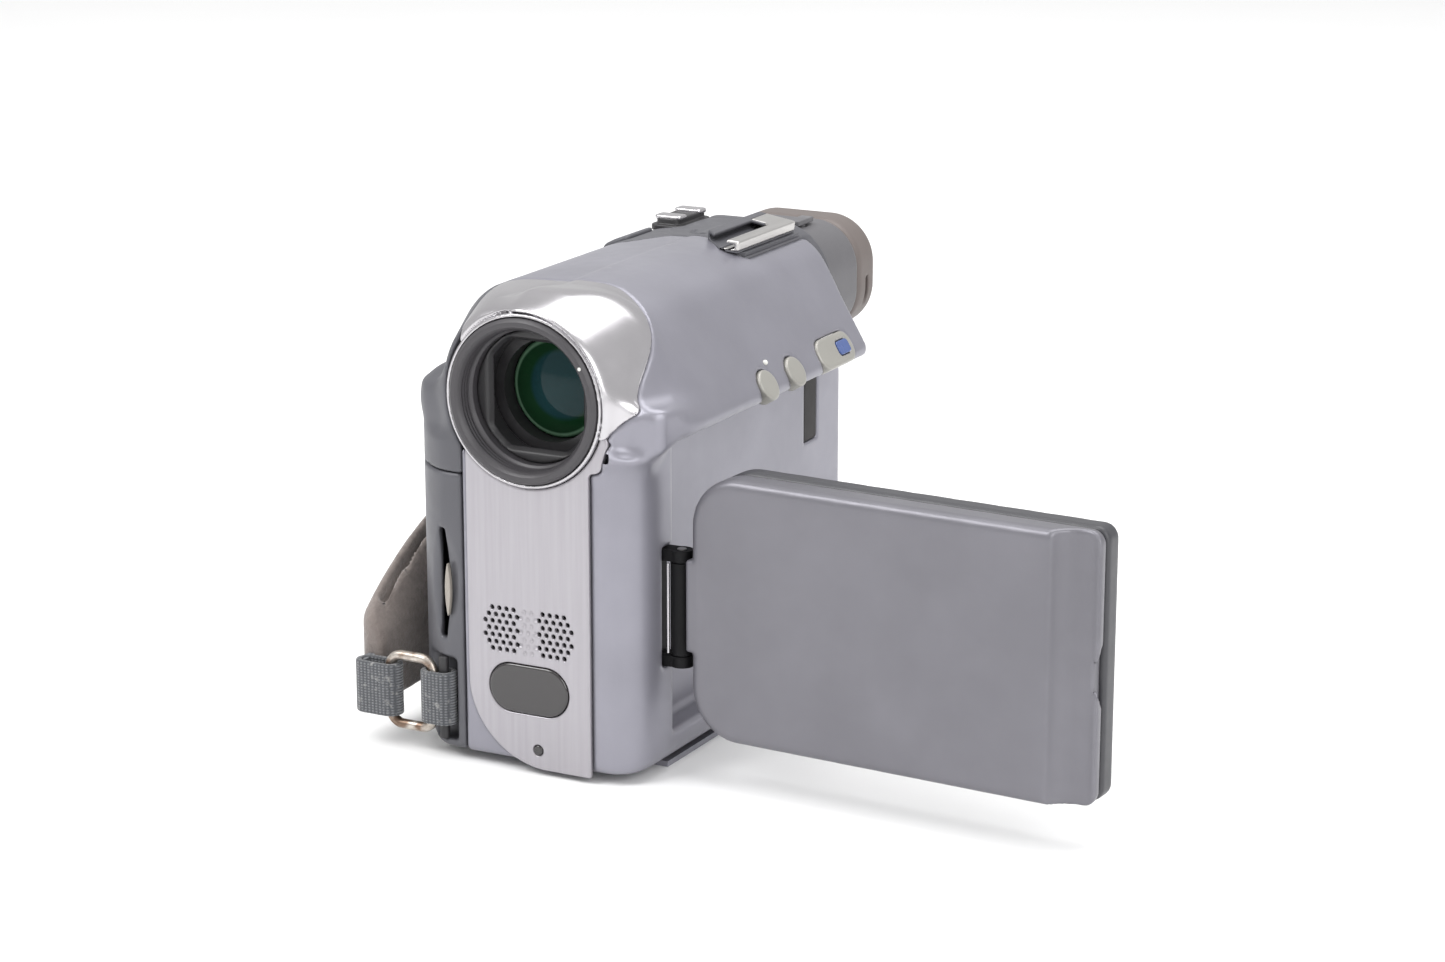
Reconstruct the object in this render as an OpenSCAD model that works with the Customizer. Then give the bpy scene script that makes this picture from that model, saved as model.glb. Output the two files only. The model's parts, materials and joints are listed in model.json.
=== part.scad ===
// Handheld tape camcorder with a swing-out screen, in millimetres.
// X points to the screen side, the lens looks along -Y and Z is up.
// The origin is on the tripod socket's axis, at the surface the camcorder stands on.
// Inside the modules y is counted from the front face; in_place() moves each piece to the origin.

/* [Body] */
// Distance from the front face back to the tripod socket
socket_y = 44; // [40:1:50]
// Half width of the grip side, from the lens axis
grip_x = 28; // [27:0.5:30]
// Half width of the hinge column on the screen side
column_x = 22.2; // [22:0.1:22.5]
// Outer edge of the wing above the screen
wing_x = 27.2; // [26.5:0.1:28]
// Height of the wing's lower edge
wing_z = 61; // [60:0.5:62]
// Height of the ridge where the top meets the slanted side
crest_z = 81.1; // [80:0.1:82]
// Height of the top cover
top_z = 86.5; // [86:0.1:88]
// Depth of the casing without the viewfinder and battery
body_y = 91.5; // [90:0.5:93]
// Wall of the casings
wall = 1.6; // [1.4:0.1:1.8]

/* [Lens] */
// Height of the lens axis
lens_z = 67; // [66:0.5:68]
// Outer radius of the black filter ring
ring_r = 14.5; // [14:0.1:15]
// Radius of the filter thread
thread_r = 12.5; // [12.5:0.5:13]
// Length of the filter thread
thread_y = 4; // [3:0.5:4.5]

/* [Screen] */
// Distance of the screen hinge's axis from the lens axis
hinge_x = 24; // [24:0.1:24.4]
// Distance of the screen hinge's axis behind the front face
hinge_y = 11.3; // [11.3:0.1:11.6]
// Length of the screen panel
panel_l = 75.2; // [74.6:0.2:76]
// Height of the screen panel
panel_h = 46.8; // [45:0.2:47]
// Thickness of the screen panel
panel_t = 10.2; // [9.8:0.1:10.3]
// Height of the screen's tilt axis
tilt_z = 32; // [31.5:0.1:32.5]
// How far past square the open screen leans forward, in degrees
open_lean = 3.5; // [0:0.5:4]

/* [Viewfinder] */
// Rear end of the eyecup
eyecup_y = 108; // [107:0.5:109]
// Width of the viewfinder housing
finder_w = 29; // [28:0.5:29.5]
// Height of the viewfinder housing
finder_h = 22; // [21:0.5:22.5]

/* [Battery] */
// Width of the battery
battery_w = 18.5; // [18:0.5:19]
// Depth of the battery
battery_d = 31.8; // [31:0.1:32]
// Height of the battery
battery_h = 45; // [44:0.5:46]

/* [Tripod] */
// Radius of the quarter-inch tripod thread
socket_r = 3.175; // [3.1:0.005:3.2]
// Length of the tripod thread
socket_l = 5.5; // [5:0.5:6]

/* [Hidden] */
$fn = 48;
gap = 0.2;                       // between neighbouring fixed shells
split_x = -13.4;                 // plane between the grip side and the screen side
door_top = 52.3;                 // top edge of the cassette door
recess_x = 16;                   // wall of the screen's recess
recess_z0 = 7.2;
recess_y0 = 13.2;
wing_y = 80;                     // rear end of the wing
panel_u0 = 3.3;                  // from the hinge axis to the panel's edge
panel_v0 = -2.9;                 // from the hinge axis to the panel's outer face
panel_z0 = tilt_z - panel_h / 2;
tilt_v = panel_v0 + panel_t / 2;
slope_a = atan2(wing_x - 16.2, crest_z - 62.6);  // tilt of the slanted side, from vertical
cover_t = 6;                     // depth of the screen's outer cover
finder_x = 0.5;
finder_z = 71.3;
finder_top = finder_z + finder_h / 2;
mask_r = 11.7;
plate_t = 1;
plate_x = 12.2;
grille_z = 25.8;
grille_pitch = 1.42;
bulge_x = -19.4;                 // swelling beside the lens
door_hinge_x = -14.6;
door_hinge_z = 2.9;
strap_z0 = 3.4;                  // pocket for the strap's bar
strap_z1 = 18.6;
drum_y = 38.4;                   // axis of the head drum
drum_z = 64;
black = [0.1, 0.1, 0.11];
lavender = [0.65, 0.63, 0.69];
dark_grey = [0.34, 0.34, 0.36];
steel = [0.78, 0.78, 0.78];

function arc(cx, cy, rx, ry, from, to, steps) =
    [for (i = [0:steps]) let (a = from + (to - from) * i / steps) [cx + rx * cos(a), cy + ry * sin(a)]];

module in_place() translate([0, -socket_y, 0]) children();

// A cylinder along Y, starting at y and reaching back by length
module along_y(r, y, length, x = 0, z = 0) translate([x, y, z]) rotate([-90, 0, 0]) cylinder(r = r, h = length);

// An x,z outline standing upright, from y back by length
module upright(y, length) translate([0, y + length, 0]) rotate([90, 0, 0]) linear_extrude(length) children();

module box(from, to) translate(from) cube(to - from);

module rounded_rect(w, h, r) {
    square([w - 2 * r, h], center = true);
    square([w, h - 2 * r], center = true);
    for (x = [-1, 1], y = [-1, 1]) translate([x * (w / 2 - r), y * (h / 2 - r)]) circle(r);
}

// Seen from above: the casing below the wing, made smaller all round by g
module plan(g = 0) polygon(concat(
    arc(split_x, 18, grip_x + split_x - g, 18 - g, 180, 270, 8),
    arc(13, 11, column_x - 13 - g, 11 - g, 270, 360, 8),
    [[column_x - g, body_y - 6 - g], [recess_x - g, body_y - g], [-20, body_y - g], [g - grip_x, body_y - 9 - g]]));

// Seen from above: the wing
module wing_plan(g = 0) polygon(concat(
    arc(13, 17, wing_x - 13 - g, 17 - g, 270, 360, 8),
    [[wing_x - g, wing_y - g], [-16, wing_y - g], [-16, g]]));

// Seen from the front: the casing
module front_outline(g = 0) polygon(concat(
    [[-21, 1 + g], [17.5, 1 + g]],
    arc(17.5, 9, column_x - 17.5 - g, 8 - g, 300, 360, 3),
    [[column_x - g, 70], [16.2 - g, crest_z - g], [8, top_z - 1.5 - g], [-4, top_z - 0.8 - g],
        [-14, 84 - g], [-21 + g, 78.5 - g]],
    [[g - grip_x, 66], [g - grip_x, 9]]));

// Seen from the front: the wing and the slanted side
module wing_outline(g = 0) polygon([[0, wing_z + g], [wing_x - 1.2 - g, wing_z + g], [wing_x - g, 62.6 + g],
    [16.2 - g, crest_z - g], [8, top_z - 1.5 - g], [0, top_z - 1.2 - g]]);

// Seen from the side: the casing's outline in y,z
module side_outline(g = 0) polygon([[g, 1 + g], [g, 82.4 - g], [5, 83.6 - g], [18, 85 - g], [40, top_z - g],
    [72, top_z - g], [84 - g, 85 - g], [84 - g, 60 - g], [body_y - g, 58 - g], [body_y - g, 8 + g], [84 - g, 1 + g]]);

// The whole casing, narrowed to a cone round the lens barrel at the front
module casing(g = 0) intersection() {
    union() {
        intersection() {
            linear_extrude(90) plan(g);
            upright(-1, 95) front_outline(g);
            translate([-30, 0, 0]) rotate([90, 0, 90]) linear_extrude(60) side_outline(g);
        }
        intersection() {
            linear_extrude(90) wing_plan(g);
            upright(-1, 95) wing_outline(g);
        }
    }
    union() {
        translate([0, 0, lens_z]) rotate([-90, 0, 0]) cylinder(r1 = 16.8 - g, r2 = 36.8 - g, h = 50);
        box([-40, 50, 40], [40, 100, 90]);
        box([-40, -1, 0], [40, 100, lens_z - 8]);
        box([-grip_x, 3, 0], [wing_x, 100, lens_z]);
    }
}

// The space that the screen folds into
module screen_recess(g = 0) difference() {
    box([recess_x - g, recess_y0 - g, recess_z0 - g], [40, body_y + 5, wing_z + g]);
    if (g == 0) box([0, recess_y0 - 0.1, wing_z - 3], [recess_x + 1, body_y + 5, wing_z + 1]);
}

module inside() difference() {
    casing(wall);
    screen_recess(wall);
}

module finder_outline(g = 0) translate([finder_x, finder_z]) rounded_rect(finder_w + 2 * g, finder_h + 2 * g, 9 + g);

module battery_bay(g = 0) translate([-battery_w / 2 - g, 72 - g, 9 - g])
    cube([battery_w + 2 * g, battery_d + 10, battery_h + 2 * g]);

// The part of the top that the top cover fills, seen from above
module top_cover_space(g = 0) translate([0, 0, 78 - g]) linear_extrude(12) polygon([
    [-22 - g, 53 - g], [-9, 53 - g], [-4, 60 - g], [4, 60 - g], [9.4, 55.4 - g], [12.9 + g, 57 - g],
    [12.9 + g, 90], [-22 - g, 90]]);

module photo_shape(g = 0) translate([-14.4, 62]) rounded_rect(6 + 2 * g, 11 + 2 * g, 2 + g);

// Places a child on the slanted side; the child's Z points out of the surface
module on_slope(y, down) translate([16.2, y, crest_z]) rotate([0, 90 - slope_a, 0]) translate([down, 0, 0]) children();

module button_hole(r) translate([0, 0, -4]) cylinder(r = r, h = 8);

module easy_shape(g) rounded_rect(6 + 2 * g, 13.6 + 2 * g, 2.6 + g);

// The hinge pocket in the column's rear corner
module hinge_pocket() box([19.6, 9.3, 20], [27, 14, 41.3]);

module plate_outline(g = 0) difference() {
    union() {
        polygon(concat(
            [[plate_x - g, 1 + g], [plate_x - g, 60], [g - plate_x, 60]],
            arc(4, 17, 4 + plate_x - g, 15.6 - g, 180, 270, 10)));
        polygon([[plate_x - 1, 55.4], [14.4, 55.9 + g], [16.3 - g, 61.6], [15, 63], [10, 62]]);
    }
    translate([0, lens_z]) circle(15.4 + g);
}

module grille_holes() for (side = [-1, 1], row = [-3:3]) {
    count = abs(row) == 3 ? 4 : 5;
    shift = abs(row) % 2 == 0 ? 0 : grille_pitch / 2;
    for (i = [0:count - 1])
        along_y(0.43, -1, 3, side * (2.2 + shift + i * grille_pitch), grille_z + row * grille_pitch * 0.87);
}

module lozenge(g = 0) {
    square([7 + 2 * g, 8.8 + 2 * g], center = true);
    for (x = [-3.5, 3.5]) translate([x, 0]) circle(4.4 + g);
}

module left_cabinet() color(lavender) in_place() difference() {
    intersection() {
        casing();
        box([split_x + gap, -1, 0], [40, body_y + 1, 90]);
    }
    inside();
    screen_recess();
    hinge_pocket();
    box([recess_x - 3, 74.9, 44.3], [recess_x + 1, 80.5, 57.7]);
    upright(-0.4, 1.1) plate_outline(-0.1);
    along_y(16.6, -2, 21, 0, lens_z);
    box([-8, 0.5, 20], [8, 3, 31]);
    box([-8, 0.5, 9], [8, 3, 20]);
    along_y(1.1, 0, 3, 1.7, 4.6);
    top_cover_space(gap);
    upright(60, 40) finder_outline(0.4);
    box([-30, wing_y - 0.1, 0], [13.9, 100, 95]);
    box([-30, wing_y - 0.1, wing_z - 2], [40, 100, 95]);
    box([-12.4, 8, 0], [16.4, 86, 3.2]);
    on_slope(39.5, 19.6) button_hole(3.05);
    on_slope(50.5, 19.4) button_hole(3.05);
    on_slope(67.6, 18.9) translate([0, 0, -4]) linear_extrude(8) easy_shape(0.1);
}

module grip_cabinet() color(dark_grey) in_place() difference() {
    union() {
        intersection() {
            casing();
            box([-40, -1, door_top + gap], [split_x, 86, 90]);
        }
        translate([bulge_x, 9.5, 63.6]) sphere(r = 6.3);
    }
    inside();
    translate([bulge_x, 9.5, 63.6]) sphere(r = 4.9);
    along_y(16.6, -2, 21, 0, lens_z);
    top_cover_space(gap);
    box([-40, wing_y - 0.1, 0], [-9, 95, 58.4]);
    upright(60, 40) finder_outline(0.4);
}

module front_plate() color([0.75, 0.74, 0.75]) in_place() difference() {
    upright(-0.35, plate_t) plate_outline();
    grille_holes();
    upright(-1, 3) translate([0, 15.4]) lozenge(0.1);
    along_y(1, -1, 3, 1.7, 4.6);
}

module lens_cowl() color([0.82, 0.82, 0.83]) in_place() difference() {
    union() {
        along_y(15.3, -1.2, 3.2, 0, lens_z);
        intersection() {
            along_y(16.4, 0.75, 17, 0, lens_z);
            translate([0, 0, lens_z]) rotate([-28, 0, 0]) box([-30, -30, -9], [30, 60, 40]);
            box([-12, -2, lens_z - 10], [30, 30, 90]);
        }
    }
    along_y(ring_r + 0.1, -5, 30, 0, lens_z);
}

module filter_ring() color(black) in_place() translate([0, 0, lens_z]) rotate([-90, 0, 0]) rotate_extrude() polygon([
    [thread_r, -1.8], [ring_r - 0.6, -1.8], [ring_r, -1.2], [ring_r, 8], [mask_r + 0.1, 8],
    [mask_r + 0.1, thread_y - 1.8], [thread_r, thread_y - 1.8]]);

module lens_mask() color(black) in_place() difference() {
    along_y(mask_r, 3.4, 4.4, 0, lens_z);
    upright(3, 2) translate([0, lens_z]) polygon([[-8.5, -6], [-5.5, -9], [5.5, -9], [8.5, -6],
        [8.5, 6], [5.5, 9], [-5.5, 9], [-8.5, 6]]);
    along_y(mask_r - 0.9, 4.4, 5, 0, lens_z);
}

module front_lens() color([0.15, 0.35, 0.3, 0.6]) in_place() intersection() {
    along_y(9, 9.6, 5, 0, lens_z);
    translate([0, 34.6, lens_z]) sphere(r = 25);
}

module rear_lens() color([0.5, 0.6, 0.7, 0.6]) in_place() intersection() {
    along_y(5.5, 30, 4, 0, lens_z);
    translate([0, 46, lens_z]) sphere(r = 16);
}

module lens_barrel() color(black) in_place() difference() {
    union() {
        along_y(13.2, 8.2, 20, 0, lens_z);
        along_y(9.5, 28.2, 19.8, 0, lens_z);
    }
    along_y(9.1, 8, 10, 0, lens_z);
    along_y(8, 12, 18, 0, lens_z);
    along_y(5.6, 29, 20, 0, lens_z);
}

module image_sensor() color([0.1, 0.3, 0.2]) in_place() {
    box([-7, 48.2, lens_z - 6], [7, 49.6, lens_z + 6]);
    box([-3, 46.8, lens_z - 2.5], [3, 48.2, lens_z + 2.5]);
}

module microphones() color([0.2, 0.2, 0.2]) in_place() for (x = [-5, 5]) along_y(2.9, 1.2, 3, x, grille_z);

module infrared_window() color([0.16, 0.15, 0.16]) in_place() upright(-0.5, 1.6) translate([0, 15.4]) lozenge();

module recording_lamp() color([0.2, 0.05, 0.05]) in_place() along_y(0.9, -0.4, 2.6, 1.7, 4.6);

module top_cover() color(dark_grey) in_place() difference() {
    union() {
        intersection() {
            casing();
            top_cover_space();
        }
        intersection() {
            upright(wing_y + 0.1, 3.9) finder_outline(2.4);
            box([-13.2, 80, 58.6], [20, 90, 84]);
        }
    }
    difference() {
        casing(wall + 0.4);
        box([-30, wing_y + 0.1, 0], [30, 90, 90]);
    }
    translate([-11, 76.6, 83]) linear_extrude(8) rounded_rect(8, 16.6, 2);
    translate([0, 0, 76]) linear_extrude(14) photo_shape(0.15);
    translate([3, 76, top_z + 12.6]) sphere(r = 14.2);
    upright(60, 40) finder_outline(0.4);
    shoe_space(0.1);
}

module zoom_lever() color(steel) in_place() translate([-11, 76.6, 83.2]) {
    linear_extrude(1.2) rounded_rect(7, 12.6, 1.6);
    translate([0, 0, 1.2]) linear_extrude(1.2) rounded_rect(5, 11.6, 1.4);
}

module photo_button() color(dark_grey) in_place() intersection() {
    casing(-0.7);
    translate([0, 0, 80.5]) linear_extrude(10) photo_shape();
}

module shoe_space(g = 0) on_top() box([-4.4 - g, 50, -1 - g], [4.4 + g, 79 + g, 6]);

// Places a child on the sloping top beside the ridge, level with the surface
module on_top() translate([8.3, 0, top_z - 2]) rotate([0, 9, 0]) children();

module shoe_plate() color([0.5, 0.5, 0.53]) in_place() intersection() {
    on_top() box([-4.4, 50, -1], [4.4, 79, -0.2]);
    top_cover_space(-0.3);
}

module accessory_shoe() color(steel) in_place() intersection() {
    on_top() difference() {
        box([-3.9, 50, -0.15], [3.9, 78, 2.1]);
        box([-3.2, 49, 0.5], [3.2, 77, 1.5]);
        box([-1.7, 49, 1], [1.7, 71, 3]);
    }
    top_cover_space(-1.5);
}

module viewfinder_housing() color([0.55, 0.52, 0.51]) in_place() difference() {
    upright(64, 36) finder_outline();
    upright(66, 60) finder_outline(-1.6);
    translate([finder_x + 6, 92, finder_top - 3]) cylinder(r = 1.1, h = 10);
}

module eyecup() color([0.3, 0.29, 0.29]) in_place() difference() {
    upright(100.1, eyecup_y - 100.1) finder_outline();
    along_y(6.4, 99, 8, finder_x, finder_z);
    translate([finder_x, 103, finder_z]) rotate([-90, 0, 0]) cylinder(r1 = 6.4, r2 = 9.6, h = 8);
}

module eyepiece_lens() color([0.4, 0.45, 0.5, 0.6]) in_place() difference() {
    union() {
        along_y(6.3, 98, 6, finder_x, finder_z);
        along_y(9.2, 98, 2, finder_x, finder_z);
    }
    translate([finder_x, 116, finder_z]) sphere(r = 13);
}

module viewfinder_display() color([0.15, 0.15, 0.2]) in_place()
    box([finder_x - 8, 76, finder_z - 7], [finder_x + 8, 79, finder_z + 7]);

module diopter_lever() color(black) in_place() translate([finder_x + 6, 92, finder_top - 2.4]) {
    cylinder(r = 1, h = 2.8);
    translate([-1.3, -3.2, 2.7]) cube([2.6, 6.4, 1]);
}

module rear_cover() color(lavender) in_place() difference() {
    intersection() {
        casing();
        box([-40, wing_y, 3.4], [13.7, 100, 58.2]);
    }
    casing(wall);
    battery_bay(0.25);
    along_y(8.1, 80, 20, -19, 40);
    box([-30, 79, 0], [-13.2, 84.6, 26]);
    box([-14, 85, 57], [20, 100, 90]);
    box([-5, 84, 54.6], [5, 95, 58.5]);
}

module mode_dial() color(black) in_place() difference() {
    along_y(8, 86.5, 6.5, -19, 40);
    along_y(5.1, 86, 10, -19, 40);
}

module start_stop_button() color([0.6, 0.1, 0.1]) in_place() along_y(5, 87.4, 6.4, -19, 40);

module battery() color([0.2, 0.2, 0.21]) in_place() difference() {
    translate([-battery_w / 2, 72, 9]) cube([battery_w, battery_d, battery_h]);
    for (z = [14, 20]) box([-3, 71, z], [3, 73.5, z + 2]);
}

module battery_latch() color(steel) in_place() box([-4.6, 85.4, 54.9], [4.6, 93, 56.9]);

module battery_terminal() color([0.85, 0.7, 0.3]) in_place() {
    box([-6, 69, 12], [6, 71.6, 24]);
    for (z = [14.3, 20.3]) box([-2, 71.6, z], [2, 73, z + 1.4]);
}

module jack_cover() color([0.2, 0.2, 0.21]) in_place() box([recess_x - 1.3, 75.1, 44.5], [recess_x - 0.1, 80.3, 57.5]);

module round_button(y, down) on_slope(y, down) translate([0, 0, -2.4]) cylinder(r = 2.9, h = 2.9);

module backlight_button() color([0.74, 0.73, 0.7]) in_place() round_button(39.5, 19.6);

module display_button() color([0.74, 0.73, 0.7]) in_place() round_button(50.5, 19.4);

module easy_button() color([0.74, 0.73, 0.7]) in_place() on_slope(67.6, 18.9) difference() {
    translate([0, 0, -2.4]) linear_extrude(2.9) easy_shape(0);
    translate([0, 2.6, -0.4]) linear_extrude(3) rounded_rect(2.9, 4.7, 0.9);
}

module easy_insert() color([0.27, 0.35, 0.55]) in_place() on_slope(67.6, 18.9)
    translate([0, 2.6, -0.4]) linear_extrude(1) rounded_rect(2.7, 4.5, 0.8);

module hinge_bracket() color(black) in_place() {
    box([19.7, 9.5, 20.2], [20.1, 13.1, 41.1]);
    for (z = [20.2, 39.1]) translate([0, 0, z]) linear_extrude(2) difference() {
        union() {
            translate([hinge_x, hinge_y]) circle(2);
            translate([19.9, 9.6]) square([hinge_x - 19.9, 3.4]);
        }
        translate([hinge_x, hinge_y]) circle(0.82);
    }
}

module hinge_pin() color(steel) in_place() translate([hinge_x, hinge_y, 20.05]) cylinder(r = 0.8, h = 21.2);

// Children are drawn with u along the open screen, from the hinge axis, and v towards its back
module in_panel() in_place() translate([hinge_x, hinge_y, 0]) rotate([0, 0, -open_lean]) children();

module tilt_shaft(r, from, to) translate([from, tilt_v, tilt_z]) rotate([0, 90, 0]) cylinder(r = r, h = to - from);

module hinge_arm() color(black) in_panel() difference() {
    union() {
        translate([0, 0, 22.4]) cylinder(r = 2, h = 16.5);
        tilt_shaft(1.4, 0, 10);
        tilt_shaft(2.6, 10, 11.4);
    }
    translate([0, 0, 20]) cylinder(r = 0.85, h = 25);
}

// The panel seen from above, between two depths behind its outer face
module panel_plan(from, to) {
    u1 = panel_u0 + panel_l;
    intersection() {
        polygon([[panel_u0, panel_v0], [u1 - 7.5, panel_v0], [u1 - 4.6, panel_v0 + 1.1], [u1 - 2, panel_v0 + 3.3],
            [u1 - 0.8, panel_v0 + 3.6], [u1, panel_v0 + 5], [u1, panel_v0 + panel_t - 0.8],
            [u1 - 0.8, panel_v0 + panel_t], [panel_u0, panel_v0 + panel_t]]);
        translate([panel_u0, panel_v0 + from]) square([panel_l, to - from]);
    }
}

// The panel seen square on, with large corners at the hinge
module panel_front() translate([panel_u0, panel_z0]) union() {
    r = 9;
    translate([r, 0]) square([panel_l - r - 2.5, panel_h]);
    translate([panel_l - 5, 2.5]) square([5, panel_h - 5]);
    translate([0, r]) square([r + 1, panel_h - 2 * r]);
    for (z = [r, panel_h - r]) translate([r, z]) circle(r);
    for (z = [2.5, panel_h - 2.5]) translate([panel_l - 2.5, z]) circle(2.5);
}

module panel_layer(from, to) intersection() {
    translate([0, 0, panel_z0]) linear_extrude(panel_h) panel_plan(from, to);
    translate([0, 20, 0]) rotate([90, 0, 0]) linear_extrude(40) panel_front();
}

module hinge_tab(from, to) translate([panel_u0 - 0.9, panel_v0 + from, tilt_z - 8.2]) cube([1.4, to - from, 16.4]);

module screen_cover() color([0.57, 0.56, 0.6]) in_panel() difference() {
    union() {
        panel_layer(0, cover_t);
        hinge_tab(0, cover_t);
    }
    translate([panel_u0 + 10.6, panel_v0 + 1.6, panel_z0 + 2]) cube([57, 10, panel_h - 4]);
    tilt_shaft(1.46, 0, 20);
    tilt_shaft(2.75, 9.8, 20);
}

module screen_bezel() color([0.25, 0.25, 0.27]) in_panel() difference() {
    union() {
        panel_layer(cover_t + 0.1, panel_t);
        hinge_tab(cover_t + 0.1, panel_t);
    }
    translate([panel_u0 + 10.8, panel_v0 + cover_t, panel_z0 + 9.5]) cube([60.2, 3.2, 34.4]);
    translate([panel_u0 + 11.6, panel_v0 + cover_t, panel_z0 + 10.3]) cube([58.6, 8, 32.8]);
    tilt_shaft(1.46, 0, 20);
    tilt_shaft(2.75, 9.8, 20);
    for (i = [0:2]) translate([panel_u0 + 22 + 12 * i, 12, panel_z0 + 4.8]) rotate([90, 0, 0])
        linear_extrude(9) rounded_rect(6.3, 3.3, 1.6);
}

module screen_glass() color([0.1, 0.12, 0.14, 0.8]) in_panel()
    translate([panel_u0 + 10.9, panel_v0 + 7.9, panel_z0 + 9.6]) cube([60, 1.2, 34.2]);

module screen_backlight() color([0.8, 0.8, 0.8]) in_panel()
    translate([panel_u0 + 11, panel_v0 + 2.2, panel_z0 + 10]) cube([56, 3.6, 33]);

module screen_button(i) in_panel() translate([panel_u0 + 22 + 12 * i, panel_v0 + panel_t + 0.4, panel_z0 + 4.8])
    rotate([90, 0, 0]) linear_extrude(3.6) rounded_rect(6, 3, 1.45);

module screen_record_button() color([0.6, 0.2, 0.2]) screen_button(0);

module screen_wide_button() color([0.5, 0.5, 0.52]) screen_button(1);

module screen_tele_button() color([0.5, 0.5, 0.52]) screen_button(2);

module card_slot() {
    box([-18.8, -2, 22], [-17.2, 8, 42]);
    along_y(4.2, -4, 12, -20.4, 32);
}

module cassette_door() color(dark_grey) in_place() difference() {
    intersection() {
        casing();
        box([-40, 0.3, 1.9], [split_x - gap, wing_y - 0.4, door_top]);
    }
    difference() {
        casing(wall);
        box([-30, 0, 0], [0, 60, 3.2]);
        box([-24.4, 0, strap_z0 - 1.2], [-14, 5.2, strap_z1 + 1.2]);
    }
    box([-22.9, -2, strap_z0], [-15.2, 3.8, strap_z1]);
    card_slot();
    box([-25.8, 5, 2.6], [-10, 79, 3.2]);
}

module cassette_carriage() color(steel) in_place() intersection() {
    difference() {
        union() {
            box([-26.2, 11, 3.3], [-25.8, 77.6, door_top - 0.2]);
            for (z = [3.3, door_top - 0.6]) box([-26.2, 11, z], [-14.2, 77.6, z + 0.4]);
            box([-26.2, 77.2, 3.3], [-14.2, 77.6, door_top - 0.2]);
        }
        for (y = [16, 46]) box([-27, y, 10], [-25, y + 25, 45]);
    }
    casing(wall + 0.2);
}

module tape_chassis() color([0.6, 0.6, 0.58]) in_place() difference() {
    union() {
        box([-12.4, 9, 5], [-11.4, 70, 56]);
        box([-12.4, 28.6, 54], [-11.4, 50, 78]);
        translate([-12.4, drum_y, drum_z]) rotate([0, -90, 0]) cylinder(r = 1.5, h = 6.6);
        for (y = [28, 59]) translate([-12.4, y, 24]) rotate([0, -90, 0]) cylinder(r = 1, h = 3);
    }
    box([-14, 14, 34], [-10, 24, 48]);
    box([-14, 36, 10], [-10, 52, 18]);
}

module head_drum() color([0.8, 0.8, 0.82]) in_place() difference() {
    translate([-13.2, drum_y, drum_z]) rotate([0, -90, 0]) cylinder(r = 10.4, h = 6);
    translate([-13, drum_y, drum_z]) rotate([0, -90, 0]) cylinder(r = 1.55, h = 12);
}

module reel(y) difference() {
    union() {
        translate([-12.6, y, 24]) rotate([0, -90, 0]) cylinder(r = 5, h = 0.8);
        translate([-12.6, y, 24]) rotate([0, -90, 0]) cylinder(r = 2.2, h = 4.4);
    }
    translate([-12, y, 24]) rotate([0, -90, 0]) cylinder(r = 1.05, h = 8);
}

module supply_reel() color([0.9, 0.9, 0.88]) in_place() reel(28);

module takeup_reel() color([0.9, 0.9, 0.88]) in_place() reel(59);

module main_board() color([0.1, 0.35, 0.2]) in_place() {
    box([11.4, 16, 9], [12.6, 78, 56]);
    for (y = [22, 44]) box([9.8, y, 20], [11.4, y + 14, 34]);
    box([8, 60, 40], [11.4, 70, 52]);
}

module speaker() color(black) in_place() translate([-8.2, 16, 20]) rotate([0, 90, 0]) cylinder(r = 6, h = 3.5);

module base_plate() color(lavender) in_place() difference() {
    union() {
        linear_extrude(3) translate([2, 47]) rounded_rect(28.4, 77.6, 7);
        box([16.2, 14, 0], [19.6, 80, 1]);
        translate([0, socket_y, 0]) cylinder(r = 7.5, h = 7);
    }
    translate([0, socket_y, -1]) cylinder(r = 5.02, h = 10);
    box([-9, 60, -1], [3, 65, 1.2]);
    for (p = [[-8, 14], [12, 14], [-8, 80], [12, 80]]) translate([p[0], p[1], -1]) cylinder(r = 1.1, h = 8);
    for (p = [[-8, 14], [12, 14], [-8, 80], [12, 80]]) translate([p[0], p[1], -1]) cylinder(r = 2.1, h = 2.2);
}

module tripod_socket() color(steel) in_place() difference() {
    translate([0, socket_y, 0]) cylinder(r = 5, h = socket_l + 1);
    translate([0, socket_y, -1]) cylinder(r = socket_r, h = socket_l + 1);
}

module eject_slider() color(black) in_place() box([-8.4, 60.2, 0.1], [-1.4, 64.8, 1.1]);

// The strap pad's outer face, seen from above: it leans in towards the grip at the back
function pad_x(y) = -38 + 9 * pow((y - 4) / 74, 1.25);

module strap_pad() color([0.55, 0.51, 0.49]) in_place() intersection() {
    linear_extrude(60) polygon(concat(
        [for (y = [4:8:76]) [pad_x(y), y]],
        [for (y = [76:-8:4]) [min(pad_x(y) + 3.2, -grip_x - 0.4), y]]));
    translate([-60, 0, 0]) rotate([90, 0, 90]) linear_extrude(60)
        polygon([[0, 6], [0, 18], [5, 20], [12, 28], [20, 35], [30, 40], [50, 43], [80, 40], [80, 25], [50, 15],
            [14, 7]]);
}

// A flat loop of webbing round an upright bar
module webbing_loop(x0, x1, y, z0, z1) translate([0, y, z0]) linear_extrude(z1 - z0) difference() {
    union() {
        translate([x0, -2.3]) square([x1 - x0, 4.6]);
        for (x = [x0, x1]) translate([x, 0]) circle(2.3);
    }
    translate([x0, -1.2]) square([x1 - x0, 2.4]);
    for (x = [x0, x1]) translate([x, 0]) circle(1.2);
}

module strap_webbing() color([0.51, 0.52, 0.53]) in_place() {
    webbing_loop(-34, -29.5, 1.2, 6.2, 15.8);
    webbing_loop(-20.4, -18.2, 1.2, 6.2, 15.8);
}

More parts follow.
